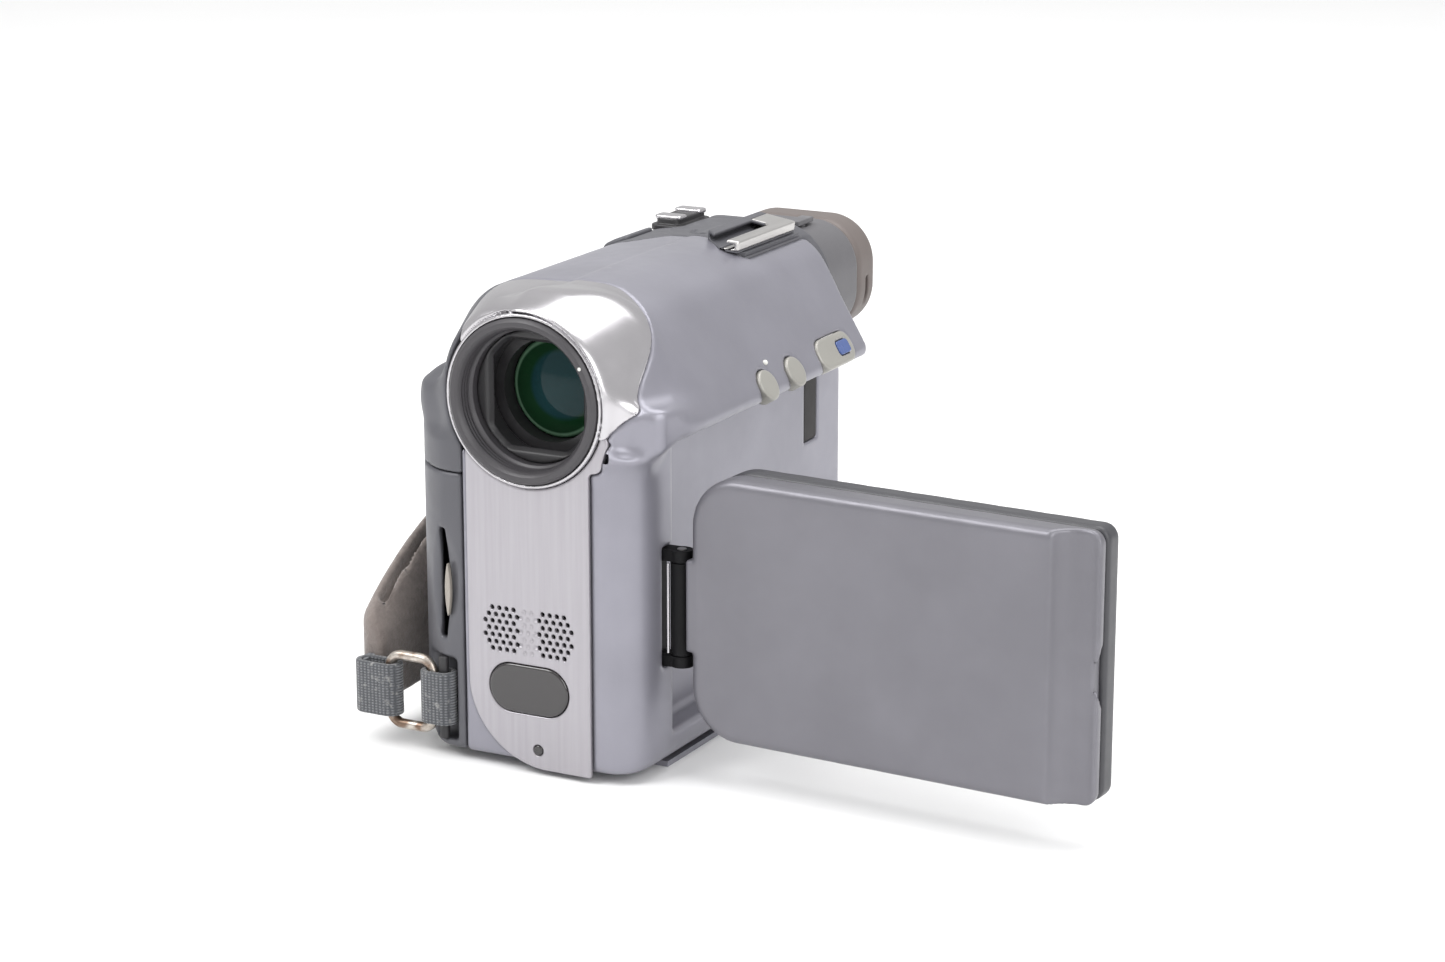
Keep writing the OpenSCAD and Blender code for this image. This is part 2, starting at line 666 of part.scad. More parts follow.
module strap_ring() color([0.75, 0.72, 0.68]) in_place() {
    for (x = [-29.5, -20.4]) translate([x, 1.2, 5]) cylinder(r = 0.9, h = 12);
    for (z = [4.6, 17.4]) translate([-30.2, 1.2, z]) rotate([0, 90, 0]) cylinder(r = 0.9, h = 10.6);
}

module strap_anchor() color(black) in_place() {
    translate([-18.2, 1.2, strap_z0]) cylinder(r = 0.9, h = strap_z1 - strap_z0);
    box([-grip_x - 1, 76.4, 27], [-grip_x, 79, 39]);
}

module body_screws() color(steel) in_place()
    for (p = [[-8, 14], [12, 14], [-8, 80], [12, 80]]) translate([p[0], p[1], 0.2]) {
        cylinder(r = 2, h = 0.9);
        cylinder(r = 1, h = 6);
    }

left_cabinet();
grip_cabinet();
front_plate();
lens_cowl();
filter_ring();
lens_mask();
front_lens();
rear_lens();
lens_barrel();
image_sensor();
microphones();
infrared_window();
recording_lamp();
top_cover();
zoom_lever();
photo_button();
shoe_plate();
accessory_shoe();
viewfinder_housing();
eyecup();
eyepiece_lens();
viewfinder_display();
diopter_lever();
rear_cover();
mode_dial();
start_stop_button();
battery();
battery_latch();
battery_terminal();
jack_cover();
backlight_button();
display_button();
easy_button();
easy_insert();
hinge_bracket();
hinge_pin();
hinge_arm();
screen_cover();
screen_bezel();
screen_glass();
screen_backlight();
screen_record_button();
screen_wide_button();
screen_tele_button();
cassette_door();
cassette_carriage();
tape_chassis();
head_drum();
supply_reel();
takeup_reel();
main_board();
speaker();
base_plate();
tripod_socket();
eject_slider();
strap_pad();
strap_webbing();
strap_ring();
strap_anchor();
body_screws();
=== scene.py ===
"""A small tape camcorder with its screen swung out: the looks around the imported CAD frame.

Shells and small parts are drawn as distance fields in millimetres, in the CAD's own layout: x to the screen
side, y counted back from the front face, z up. moulded() turns a field into a piece in the frame.
"""
import json
import math

import bmesh
import bpy
import numpy as np
from mathutils import Matrix, Vector

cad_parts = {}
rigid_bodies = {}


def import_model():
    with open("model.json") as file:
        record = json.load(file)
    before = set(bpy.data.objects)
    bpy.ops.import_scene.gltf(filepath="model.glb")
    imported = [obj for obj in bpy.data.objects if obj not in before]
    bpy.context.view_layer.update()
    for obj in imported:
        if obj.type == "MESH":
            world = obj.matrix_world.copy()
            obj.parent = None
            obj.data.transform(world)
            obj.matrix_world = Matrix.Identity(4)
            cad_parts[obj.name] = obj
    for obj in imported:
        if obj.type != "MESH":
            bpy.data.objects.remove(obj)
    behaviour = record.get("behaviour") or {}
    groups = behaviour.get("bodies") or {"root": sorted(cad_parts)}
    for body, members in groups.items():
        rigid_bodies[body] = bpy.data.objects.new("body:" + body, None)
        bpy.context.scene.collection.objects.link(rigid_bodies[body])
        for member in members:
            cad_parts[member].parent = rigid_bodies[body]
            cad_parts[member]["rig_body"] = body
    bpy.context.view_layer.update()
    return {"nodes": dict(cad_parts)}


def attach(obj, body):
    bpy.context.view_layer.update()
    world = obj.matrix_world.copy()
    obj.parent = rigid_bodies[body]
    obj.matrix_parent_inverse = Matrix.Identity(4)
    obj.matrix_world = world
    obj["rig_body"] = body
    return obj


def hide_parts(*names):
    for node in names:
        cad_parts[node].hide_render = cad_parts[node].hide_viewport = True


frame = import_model()
nodes = frame["nodes"]

MM = 0.001
BACK = 44.0              # the front face lies this far in front of the frame's origin
COARSE = 1.0

# Sizes shared by several pieces, in millimetres
LENS_Z = 67.0
SPLIT_X = -13.4
WALL = 1.6
COLUMN_X = 22.2
WING_X = 27.2
WING_Y = 80.0
CREST = (16.2, 81.1)
RECESS_X = 16.0
FINDER = (0.5, 71.3)
FINDER_SIZE = (29.0, 22.0)
DOOR_TOP = 52.3
SLOPE = math.atan2(WING_X - CREST[0], CREST[1] - 62.6)
LEAN = math.radians(3.5)
HINGE = (24.0, 11.3)
PANEL_U0, PANEL_V0 = 3.3, -2.9
PANEL_L, PANEL_H, PANEL_T = 75.2, 46.8, 10.2
PANEL_Z0 = 32 - PANEL_H / 2
COVER_T = 6.0
PITCH = 1.42              # between the microphone holes
GRILLE_Z = 25.8
WINDOW_Z = 15.4
DIAL = (-19, 40)
LEVER = (-11, 76.6)
PHOTO_KEY = (-14.4, 62)
BACKLIGHT_KEY = (39.5, 19.6)   # keys on the slanted side: along Y, and down the slope from the crest
DISPLAY_KEY = (50.5, 19.4)
EASY_KEY = (67.6, 18.9)
ROUND_KEY_R = 2.9
RING_CENTRE = (-24.95, 1.2, 11)
RING_WIRE_R = 0.9


def place(x, y, z):
    """A point of the layout, in the frame and in metres."""
    return Vector((x * MM, (y - BACK) * MM, z * MM))


# ---------------------------------------------------------------- distance fields

def smax(a, b, k=0.8):
    """The larger of two fields, with a rounded edge about k wide."""
    h = np.maximum(k - np.abs(a - b), 0) / k
    return np.maximum(a, b) + h * h * k / 4


def smin(a, b, k=0.8):
    return -smax(-a, -b, k)


def all_of(fields, k=0.8):
    result = fields[0]
    for f in fields[1:]:
        result = smax(result, f, k)
    return result


def cut(a, b, k=0.6):
    """Field a with field b taken away."""
    return smax(a, -b, k)


def elbow(u, v, ru, rv):
    """A quarter ellipse with radii ru and rv round the point where u and v are 0."""
    a = np.maximum(u, 1e-6) / ru
    b = np.maximum(v, 1e-6) / rv
    length = np.sqrt(a * a + b * b)
    return (length - 1) * length / np.sqrt((a / ru) ** 2 + (b / rv) ** 2)


def line(u, v, p, q):
    """Distance from the line p to q; the solid lies on its left."""
    length = math.hypot(q[0] - p[0], q[1] - p[1])
    return ((u - p[0]) * (q[1] - p[1]) - (v - p[1]) * (q[0] - p[0])) / length


def polygon(u, v, points, k=0.8):
    """A convex outline, given anticlockwise."""
    return all_of([line(u, v, p, q) for p, q in zip(points, points[1:] + points[:1])], k)


def slab(u, low, high):
    return np.abs(u - (low + high) / 2) - (high - low) / 2


def box(x, y, z, low, high, k=0.6):
    return all_of([slab(c, l, h) for c, l, h in zip((x, y, z), low, high)], k)


def rounded(u, v, w, h, r):
    """A rectangle round the origin with corners of radius r."""
    a = np.abs(u) - w / 2 + r
    b = np.abs(v) - h / 2 + r
    return np.sqrt(np.maximum(a, 0) ** 2 + np.maximum(b, 0) ** 2) + np.minimum(np.maximum(a, b), 0) - r


def disc(u, v, r):
    return np.sqrt(u * u + v * v) - r


def ball(x, y, z, centre, r):
    return np.sqrt((x - centre[0]) ** 2 + (y - centre[1]) ** 2 + (z - centre[2]) ** 2) - r


# ---------------------------------------------------------------- fields to meshes

CORNERS = [(i, j, k) for i in (0, 1) for j in (0, 1) for k in (0, 1)]
EDGES = [(a, b) for a in range(8) for b in range(a + 1, 8)
         if sum(p != q for p, q in zip(CORNERS[a], CORNERS[b])) == 1]


def gradient(field, p, step=0.02):
    g = np.empty_like(p)
    for axis in range(3):
        d = np.zeros(3)
        d[axis] = step
        g[:, axis] = (field(*(p + d).T) - field(*(p - d).T)) / (2 * step)
    return g


def surface(field, low, high, size):
    """Vertices and quads of the field's zero level, by surface nets."""
    low = np.array(low, float)
    count = np.ceil((np.array(high) - low) / size).astype(int) + 1
    axes = [low[i] + size * np.arange(count[i]) for i in range(3)]
    grid = field(axes[0][:, None, None], axes[1][None, :, None], axes[2][None, None, :])
    grid = np.ascontiguousarray(np.broadcast_to(grid, count))
    inside = grid < 0
    parts = [inside[i:count[0] - 1 + i, j:count[1] - 1 + j, k:count[2] - 1 + k] for i, j, k in CORNERS]
    total = sum(p.astype(np.int8) for p in parts)
    cells = np.argwhere((total > 0) & (total < 8))
    values = np.stack([grid[tuple((cells + c).T)] for c in CORNERS], 1)
    offset = np.zeros((len(cells), 3))
    crossings = np.zeros(len(cells))
    for a, b in EDGES:
        va, vb = values[:, a], values[:, b]
        hit = (va < 0) != (vb < 0)
        t = np.where(hit, va / np.where(hit, va - vb, 1), 0)
        ca, cb = np.array(CORNERS[a], float), np.array(CORNERS[b], float)
        offset += hit[:, None] * (ca + t[:, None] * (cb - ca))
        crossings += hit
    points = low + size * (cells + offset / crossings[:, None])
    index = np.full(count - 1, -1, np.int64)
    index[tuple(cells.T)] = np.arange(len(cells))
    quads = []
    for axis in range(3):
        ahead = [slice(None)] * 3
        ahead[axis] = slice(1, None)
        behind = [slice(None)] * 3
        behind[axis] = slice(None, -1)
        change = inside[tuple(behind)] != inside[tuple(ahead)]
        starts = np.argwhere(change)
        b, c = (axis + 1) % 3, (axis + 2) % 3
        keep = (starts[:, b] > 0) & (starts[:, c] > 0)
        keep &= (starts[:, b] < count[b] - 1) & (starts[:, c] < count[c] - 1)
        starts = starts[keep]
        ring = []
        for db, dc in ((-1, -1), (0, -1), (0, 0), (-1, 0)):
            at = starts.copy()
            at[:, b] += db
            at[:, c] += dc
            ring.append(index[tuple(at.T)])
        ring = np.stack(ring, 1)
        outwards = inside[tuple(starts.T)]
        quads.append(np.where(outwards[:, None], ring, ring[:, ::-1]))
    for _ in range(3):
        g = gradient(field, points)
        move = field(*points.T)[:, None] * g / np.maximum((g * g).sum(1), 0.2)[:, None]
        points -= np.clip(move, -0.4 * size, 0.4 * size)
    return points, np.concatenate(quads)


def new_mesh(name, points, faces, matter=None, smooth=True):
    """A mesh object from points in metres, in the frame."""
    mesh = bpy.data.meshes.new(name)
    if isinstance(faces, np.ndarray):
        mesh.vertices.add(len(points))
        mesh.vertices.foreach_set("co", np.asarray(points, np.float32).ravel())
        mesh.loops.add(faces.size)
        mesh.loops.foreach_set("vertex_index", faces.astype(np.int32).ravel())
        mesh.polygons.add(len(faces))
        mesh.polygons.foreach_set("loop_start", np.arange(0, faces.size, faces.shape[1], dtype=np.int32))
        mesh.update(calc_edges=True)
        mesh.validate()
    else:
        mesh.from_pydata([tuple(p) for p in points], [], faces)
    if smooth:
        mesh.polygons.foreach_set("use_smooth", [True] * len(mesh.polygons))
    piece = bpy.data.objects.new(name, mesh)
    bpy.context.scene.collection.objects.link(piece)
    if matter is not None:
        mesh.materials.append(matter)
    return piece


def body_of(node):
    return nodes[node]["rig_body"]


def finish(matter, *names):
    """Gives CAD nodes that stay in view their material."""
    for name in names:
        nodes[name].data.materials.clear()
        nodes[name].data.materials.append(matter)


def mounted(piece, matter, body, *replaced):
    """Puts a piece on its body and hides the CAD nodes it replaces; matter is not used."""
    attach(piece, body)
    if replaced:
        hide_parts(*replaced)
    return piece


def moulded(name, field, low, high, size, matter, body, *replaced):
    """A piece made from a field; it rides on body and stands for the replaced CAD nodes."""
    points, quads = surface(field, low, high, size * COARSE)
    points = (points - [0, BACK, 0]) * MM
    return mounted(new_mesh(name, points, quads, matter), matter, body, *replaced)


def turned(name, profile, centre, matter, body, *replaced, steps=96, axis="y"):
    """A piece turned round an axis from a closed profile of (radius, distance along) points."""
    points, faces = [], []
    count = len(profile)
    for i in range(steps):
        a = 2 * math.pi * i / steps
        for r, h in profile:
            u, v = r * math.cos(a), r * math.sin(a)
            offset = {"x": (h, u, v), "y": (v, h, u), "z": (u, v, h)}[axis]
            points.append(place(*(c + o for c, o in zip(centre, offset))))
    for i in range(steps):
        j = (i + 1) % steps
        for k in range(count):
            m = (k + 1) % count
            faces.append((i * count + k, i * count + m, j * count + m, j * count + k))
    piece = new_mesh(name, points, faces, matter)
    tidy(piece)
    return mounted(piece, matter, body, *replaced)


def tidy(piece, distance=1e-6):
    """Merges coincident points, drops empty faces and turns the faces outwards."""
    work = bmesh.new()
    work.from_mesh(piece.data)
    bmesh.ops.remove_doubles(work, verts=work.verts, dist=distance)
    bmesh.ops.dissolve_degenerate(work, edges=work.edges, dist=distance)
    bmesh.ops.recalc_face_normals(work, faces=work.faces)
    work.to_mesh(piece.data)
    work.free()


def soften(profile, radius=0.25, steps=3):
    """A closed profile with each corner replaced by a short arc."""
    result = []
    count = len(profile)
    for i, p in enumerate(profile):
        a, b = Vector(profile[i - 1]), Vector(profile[(i + 1) % count])
        p = Vector(p)
        reach = min(radius, (a - p).length * 0.45, (b - p).length * 0.45)
        start = p + (a - p).normalized() * reach
        end = p + (b - p).normalized() * reach
        for s in range(steps + 1):
            t = s / steps
            result.append(tuple(start * (1 - t) ** 2 + p * 2 * t * (1 - t) + end * t * t))
    return result


def eased(node, width, matter):
    """A copy of a CAD node with its edges rounded; it stands for the node."""
    source = nodes[node]
    mesh = source.data.copy()
    mesh.name = node + "_eased"
    piece = bpy.data.objects.new(node + "_eased", mesh)
    bpy.context.scene.collection.objects.link(piece)
    work = bmesh.new()
    work.from_mesh(mesh)
    bmesh.ops.remove_doubles(work, verts=work.verts, dist=1e-6)
    bmesh.ops.dissolve_limit(work, angle_limit=math.radians(1), verts=work.verts, edges=work.edges)
    work.to_mesh(mesh)
    work.free()
    bevel = piece.modifiers.new("bevel", "BEVEL")
    bevel.width = width * MM
    bevel.segments = 3
    bevel.limit_method = "ANGLE"
    bevel.angle_limit = math.radians(35)
    mesh.polygons.foreach_set("use_smooth", [True] * len(mesh.polygons))
    weighted = piece.modifiers.new("weighted", "WEIGHTED_NORMAL")
    weighted.keep_sharp = True
    mesh.materials.clear()
    mesh.materials.append(matter)
    return mounted(piece, matter, source["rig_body"], node)


# ---------------------------------------------------------------- materials

def srgb(*values):
    """A colour given as 0 to 255 screen values, in linear light."""
    c = [v / 255 for v in values]
    return tuple(v / 12.92 if v < 0.04045 else ((v + 0.055) / 1.055) ** 2.4 for v in c) + (1.0,)


class Matter:
    """A node material built step by step."""

    def __init__(self, name, roughness=0.5, metallic=0.0, **sockets):
        self.material = bpy.data.materials.new(name)
        self.material.use_nodes = True
        self.tree = self.material.node_tree
        self.shader = self.tree.nodes["Principled BSDF"]
        self.shader.inputs["Roughness"].default_value = roughness
        self.shader.inputs["Metallic"].default_value = metallic
        for key, value in sockets.items():
            self.shader.inputs[key.replace("_", " ")].default_value = value
        self.coordinates = self.tree.nodes.new("ShaderNodeTexCoord").outputs["Object"]

    def node(self, kind, **inputs):
        made = self.tree.nodes.new(kind)
        for key, value in inputs.items():
            socket = made.inputs[key.replace("_", " ")]
            if isinstance(value, bpy.types.NodeSocket):
                self.tree.links.new(value, socket)
            else:
                socket.default_value = value
        return made

    def noise(self, per_metre, detail=3, stretch=(1, 1, 1), roughness=0.5):
        mapping = self.node("ShaderNodeMapping", Vector=self.coordinates, Scale=stretch)
        return self.node("ShaderNodeTexNoise", Vector=mapping.outputs[0], Scale=per_metre,
                         Detail=detail, Roughness=roughness).outputs["Fac"]

    def ramp(self, value, low, high):
        """value spread from 0 at low to 1 at high."""
        made = self.node("ShaderNodeMapRange", Value=value)
        made.inputs["From Min"].default_value = low
        made.inputs["From Max"].default_value = high
        return made.outputs[0]

    def math(self, kind, a, b):
        made = self.tree.nodes.new("ShaderNodeMath")
        made.operation = kind
        for socket, value in zip(made.inputs, (a, b)):
            if isinstance(value, bpy.types.NodeSocket):
                self.tree.links.new(value, socket)
            else:
                socket.default_value = value
        return made.outputs[0]

    def mix(self, amount, a, b):
        made = self.tree.nodes.new("ShaderNodeMix")
        made.data_type = "RGBA"
        for socket, value in zip((made.inputs[0], made.inputs[6], made.inputs[7]), (amount, a, b)):
            if isinstance(value, bpy.types.NodeSocket):
                self.tree.links.new(value, socket)
            else:
                socket.default_value = value
        return made.outputs[2]

    def colour(self, value):
        self.tree.links.new(value, self.shader.inputs["Base Color"])
        return self

    def rough(self, value, low, high):
        made = self.node("ShaderNodeMapRange", Value=value)
        made.inputs["To Min"].default_value = low
        made.inputs["To Max"].default_value = high
        self.tree.links.new(made.outputs[0], self.shader.inputs["Roughness"])
        return self

    def bump(self, height, strength, depth):
        """depth is in millimetres."""
        made = self.node("ShaderNodeBump", Height=height, Strength=strength, Distance=depth * MM)
        self.tree.links.new(made.outputs[0], self.shader.inputs["Normal"])
        return self

    def edges(self, low=0.52, high=0.60):
        """Where the surface is convex, broken up by noise: the places that wear."""
        point = self.tree.nodes.new("ShaderNodeNewGeometry").outputs["Pointiness"]
        patch = self.ramp(self.noise(260, 4), 0.45, 0.62)
        return self.math("MULTIPLY", self.ramp(point, low, high), patch)


def plastic(name, colour, roughness=0.5, metallic=0.0, grain=0.25, wear=0.35, worn=None, **sockets):
    """Moulded plastic: a fine spark-eroded grain, a little uneven colour and rubbed edges."""
    m = Matter(name, roughness, metallic, **sockets)
    cloudy = m.noise(60, 4)
    darker = tuple(c * 0.90 for c in colour[:3]) + (1.0,)
    lighter = worn or tuple(min(1.0, c * 1.35 + 0.03) for c in colour[:3]) + (1.0,)
    base = m.mix(m.ramp(cloudy, 0.35, 0.65), darker, colour)
    m.colour(m.mix(m.math("MULTIPLY", m.edges(), wear), base, lighter))
    m.rough(m.noise(420, 3), roughness - 0.06, roughness + 0.08)
    m.bump(m.noise(2600, 2), grain, 0.05)
    return m.material


def brushed(name, colour, roughness, stretch, metallic=1.0, depth=0.02):
    """Metal or metal-like film with long fine scratches."""
    m = Matter(name, roughness, metallic)
    strokes = m.noise(1500, 3, stretch)
    darker = tuple(c * 0.9 for c in colour[:3]) + (1.0,)
    m.colour(m.mix(m.ramp(strokes, 0.3, 0.7), darker, colour))
    m.rough(strokes, roughness - 0.08, roughness + 0.12)
    m.bump(strokes, 0.35, depth)
    return m.material


def polished(name, colour, roughness):
    """Bright plated plastic with a faint haze of handling."""
    m = Matter(name, roughness, 0.95)
    haze = m.noise(90, 4)
    darker = tuple(c * 0.9 for c in colour[:3]) + (1.0,)
    m.colour(m.mix(m.ramp(haze, 0.35, 0.65), darker, colour))
    m.rough(m.noise(300, 3), roughness - 0.04, roughness + 0.05)
    m.bump(m.noise(2000, 2), 0.04, 0.01)
    return m.material


LAVENDER = plastic("lavender_plastic", srgb(138, 137, 146), 0.34, 0.45, 0.12)
GRIP = plastic("grip_plastic", srgb(84, 84, 89), 0.45, 0.2, 0.2)
SCREEN_PLASTIC = plastic("screen_plastic", srgb(111, 110, 116), 0.36, 0.4, 0.12)
TAUPE = plastic("taupe_plastic", srgb(104, 96, 93), 0.5, 0.1, 0.25)
COLLAR = plastic("collar_plastic", srgb(96, 95, 98), 0.5, 0.1, 0.25)
BLACK = plastic("black_plastic", srgb(40, 39, 41), 0.45, 0.0, 0.2, wear=0.15)
RING_BLACK = plastic("ring_black", srgb(62, 60, 63), 0.42, 0.1, 0.3, wear=0.5)
BUTTON = plastic("button_plastic", srgb(158, 156, 150), 0.35, 0.3, 0.1)
BEZEL = plastic("bezel_plastic", srgb(58, 58, 62), 0.4, 0.0, 0.2)
RUBBER = plastic("soft_rubber", srgb(48, 46, 46), 0.75, 0.0, 0.5, wear=0.1)
BATTERY = plastic("battery_plastic", srgb(44, 44, 47), 0.5, 0.0, 0.35)
RED = plastic("red_plastic", srgb(150, 24, 24), 0.35, 0.0, 0.1)
BLUE = plastic("blue_insert", srgb(58, 82, 140), 0.25, 0.0, 0.05, wear=0.2, Coat_Weight=0.4)
SMOKED = plastic("smoked_window", srgb(38, 35, 36), 0.12, 0.0, 0.03, wear=0.1, Coat_Weight=0.6)
SCREEN_GLASS = plastic("screen_panel", srgb(18, 20, 23), 0.08, 0.0, 0.01, wear=0.0, Coat_Weight=0.8)
CREAM = plastic("cream_card", srgb(150, 144, 136), 0.5, 0.0, 0.1)
# near-black hinge plastic, also used as the painted shade sheet in the hinge's hollow
HINGE_BLACK_AND_SHADE = plastic("hinge_black_and_shade", srgb(14, 14, 16), 0.6, 0.0, 0.1, wear=0.05, Specular_IOR_Level=0.2)
WHITE = plastic("white_plastic", srgb(220, 220, 214), 0.5, 0.0, 0.1)
BOARD = plastic("circuit_board", srgb(20, 84, 48), 0.4, 0.0, 0.1)
CHROME = polished("chrome_trim", srgb(192, 190, 193), 0.24)
STEEL = brushed("steel", srgb(196, 194, 192), 0.3, (1, 0.06, 1))
CASTING = brushed("casting", srgb(176, 176, 174), 0.45, (1, 1, 1), 0.9, 0.05)
BRASS = brushed("brass_contacts", srgb(206, 166, 84), 0.28, (1, 0.1, 1))
FACEPLATE = brushed("faceplate", srgb(164, 161, 166), 0.34, (1, 1, 0.03), 0.6, 0.012)


def suede():
    m = Matter("suede", 0.95, Sheen_Weight=0.5, Sheen_Roughness=0.5)
    nap = m.noise(560, 5, roughness=0.75)
    patches = m.ramp(m.noise(45, 4), 0.35, 0.65)
    base = m.mix(patches, srgb(84, 77, 74), srgb(108, 99, 95))
    m.colour(m.mix(m.ramp(nap, 0.35, 0.7), base, srgb(128, 119, 114)))
    m.bump(nap, 0.9, 0.45)
    return m.material


def woven():
    """Grey nylon webbing with a fine cross weave and rubbed, paler threads."""
    m = Matter("woven_webbing", 0.85, Sheen_Weight=0.3)
    across = m.node("ShaderNodeTexWave", Vector=m.coordinates, Scale=620.0, Distortion=0.6)
    across.bands_direction = "Z"
    along = m.node("ShaderNodeTexWave", Vector=m.coordinates, Scale=420.0, Distortion=0.8)
    along.bands_direction = "X"
    weave = m.math("MULTIPLY", across.outputs["Fac"], along.outputs["Fac"])
    base = m.mix(weave, srgb(62, 64, 68), srgb(118, 120, 124))
    m.colour(m.mix(m.ramp(m.noise(900, 4), 0.58, 0.8), base, srgb(150, 149, 147)))
    m.bump(weave, 0.8, 0.3)
    return m.material


def nickel():
    m = Matter("nickel_ring", 0.3, 0.9)
    spots = m.noise(380, 5)
    m.colour(m.mix(m.ramp(spots, 0.4, 0.62), srgb(196, 190, 182), srgb(120, 100, 86)))
    m.rough(spots, 0.2, 0.5)
    m.bump(m.noise(1400, 3), 0.3, 0.03)
    return m.material


def coated_glass(name, inner, outer, rim, radius, x, z):
    """Coated glass in its dark barrel, with its reflections painted into the colour: a pool of painted
    coating reflection near the middle, a band round it, and a pale painted highlight at the rim.
    """
    m = Matter(name, 0.06, 0.0, IOR=1.25)
    parts = m.node("ShaderNodeSeparateXYZ", Vector=m.coordinates)

    def distance(dx, dz):
        u = m.math("SUBTRACT", parts.outputs[0], (x + dx) * MM)
        w = m.math("SUBTRACT", parts.outputs[2], (z + dz) * MM)
        return m.math("SQRT", m.math("ADD", m.math("MULTIPLY", u, u), m.math("MULTIPLY", w, w)), 0.0)

    # painted reflection: the coating's colour drawn as a pool set a little off the middle, with a band round
    # it
    reflection_pool = m.ramp(distance(radius * 0.14, radius * 0.08), radius * 0.62 * MM, radius * 0.72 * MM)
    cloudy = m.math("MULTIPLY", m.noise(140, 2), 0.35)
    painted_reflection = m.mix(cloudy, m.mix(reflection_pool, inner, outer), srgb(12, 18, 18))
    # painted highlight: a pale ring just inside the rim of the glass
    edge = m.math("SUBTRACT", m.ramp(distance(0, 0), radius * 0.88 * MM, radius * 0.92 * MM),
                  m.ramp(distance(0, 0), radius * 0.94 * MM, radius * 0.99 * MM))
    m.colour(m.mix(edge, painted_reflection, rim))
    return m.material


SUEDE = suede()
WOVEN = woven()
NICKEL = nickel()
# both glasses have their coating reflections and rim highlight painted into their colour
LENS_GLASS = coated_glass("lens_glass", srgb(30, 62, 66), srgb(22, 56, 32), srgb(92, 124, 100),
                          9.0, 0.0, LENS_Z)
EYE_GLASS = coated_glass("eye_glass", srgb(30, 32, 44), srgb(24, 26, 32), srgb(70, 74, 82), 6.3, *FINDER)


# ---------------------------------------------------------------- the casing's outer surface

def plan(x, y):
    left = elbow(SPLIT_X - x, 18 - y, 14.6, 18)
    right = elbow(x - 13, 11 - y, COLUMN_X - 13, 11)
    back = polygon(x, y, [(COLUMN_X, 0), (COLUMN_X, 85.5), (RECESS_X, 91.5), (-20, 91.5), (-28, 82.5),
                          (-28, 0)], 2.0)
    return all_of([left, right, back], 1.0)


def top_height(y):
    """Height of the top along the casing: it rises from the lens and falls a little at the back."""
    front = np.maximum(40 - y, 0) / 40
    back = np.maximum(y - 72, 0) / 12
    return 86.5 - 4.1 * front ** 2 - 1.5 * back ** 2


def front_view(x, z):
    corner = elbow(x - 17.5, 9 - z, COLUMN_X - 17.5, 8)
    rest = polygon(x, z, [(-21, 1), (COLUMN_X, 1), (COLUMN_X, 70), CREST, (8, 85), (-4, 85.7), (-14, 84),
                          (-21, 78.5), (-28, 66), (-28, 9)], 3.0)
    return smax(corner, rest, 0.8)


def wing_plan(x, y):
    return smax(elbow(x - 13, 17 - y, WING_X - 13, 17), y - WING_Y, 0.6)


def wing_view(x, z):
    return polygon(x, z, [(0, 61), (WING_X - 1.2, 61), (WING_X, 62.6), CREST, (8, 85), (0, 85.3)], 1.4)


def casing(x, y, z):
    rear = smin(y - 84, smax(y - 91.5, z - 58.6, 3.0), 1.0)
    trunk = all_of([plan(x, y), front_view(x, z), z - top_height(y), rear, 1 - z], 2.2)
    wing = all_of([wing_plan(x, y), wing_view(x, z), z - top_height(y)], 1.2)
    fillet = np.interp(y, [5, 14], [9.0, 0.8])
    whole = smin(trunk, wing, fillet)
    cone = np.sqrt(x * x + (z - LENS_Z) ** 2) - 16.8 - 0.4 * y
    below = smin(z - 59, smax(3 - y, z - LENS_Z, 2.0), 2.0)
    return smax(whole, smin(cone, below, 5.0), 1.6)


def recess(x, y, z, grown=0.0):
    """The space that the screen folds into."""
    return all_of([RECESS_X - grown - x, 13.2 - grown - y, 7.2 - grown - z, z - 61 - grown], 1.2)


def hollow(x, y, z):
    return smax(casing(x, y, z) + WALL, -recess(x, y, z, WALL), 0.6)


def finder_shape(x, z, grown=0.0):
    w, h = FINDER_SIZE
    return rounded(x - FINDER[0], z - FINDER[1], w + 2 * grown, h + 2 * grown, 9 + grown)


def cover_space(x, y, z, grown=0.0):
    """The part of the top that the top cover fills; its front edge steps round the lens ridge."""
    front = np.interp(x, [-22, -9, -4, 4, 9.4, 12.9], [53, 53, 60, 60, 55.4, 57])
    return all_of([(front - y) * 0.7, x - 12.9, -22 - x, 78 - z], 1.0) - grown


def finder_bore(x, y, z, grown):
    return smax(finder_shape(x, z, grown), 60 - y, 0.4)


def lens_bore(x, y, z):
    return smax(disc(x, z - LENS_Z, 16.4), y - 18, 0.4)


def slope_frame(x, y, z, middle, down):
    """Coordinates on the slanted side: along Y, down the slope, and out of it."""
    dx, dz = x - CREST[0], z - CREST[1]
    s, c = math.sin(SLOPE), math.cos(SLOPE)
    along = y - middle
    fall = dx * s - dz * c - down
    out = dx * c + dz * s
    return along, fall, out


def cowl_space(x, y, z):
    """The bright collar's share of the casing: two slanting edges meet beside the lens."""
    side = y - 0.9 - 0.776 * (z - 63.8)
    top = y - 12.7 - 0.59 * (17.4 - x)
    return all_of([smax(side, top, 1.0) * 0.85, 62 - z, SPLIT_X + 0.2 - x], 0.5)


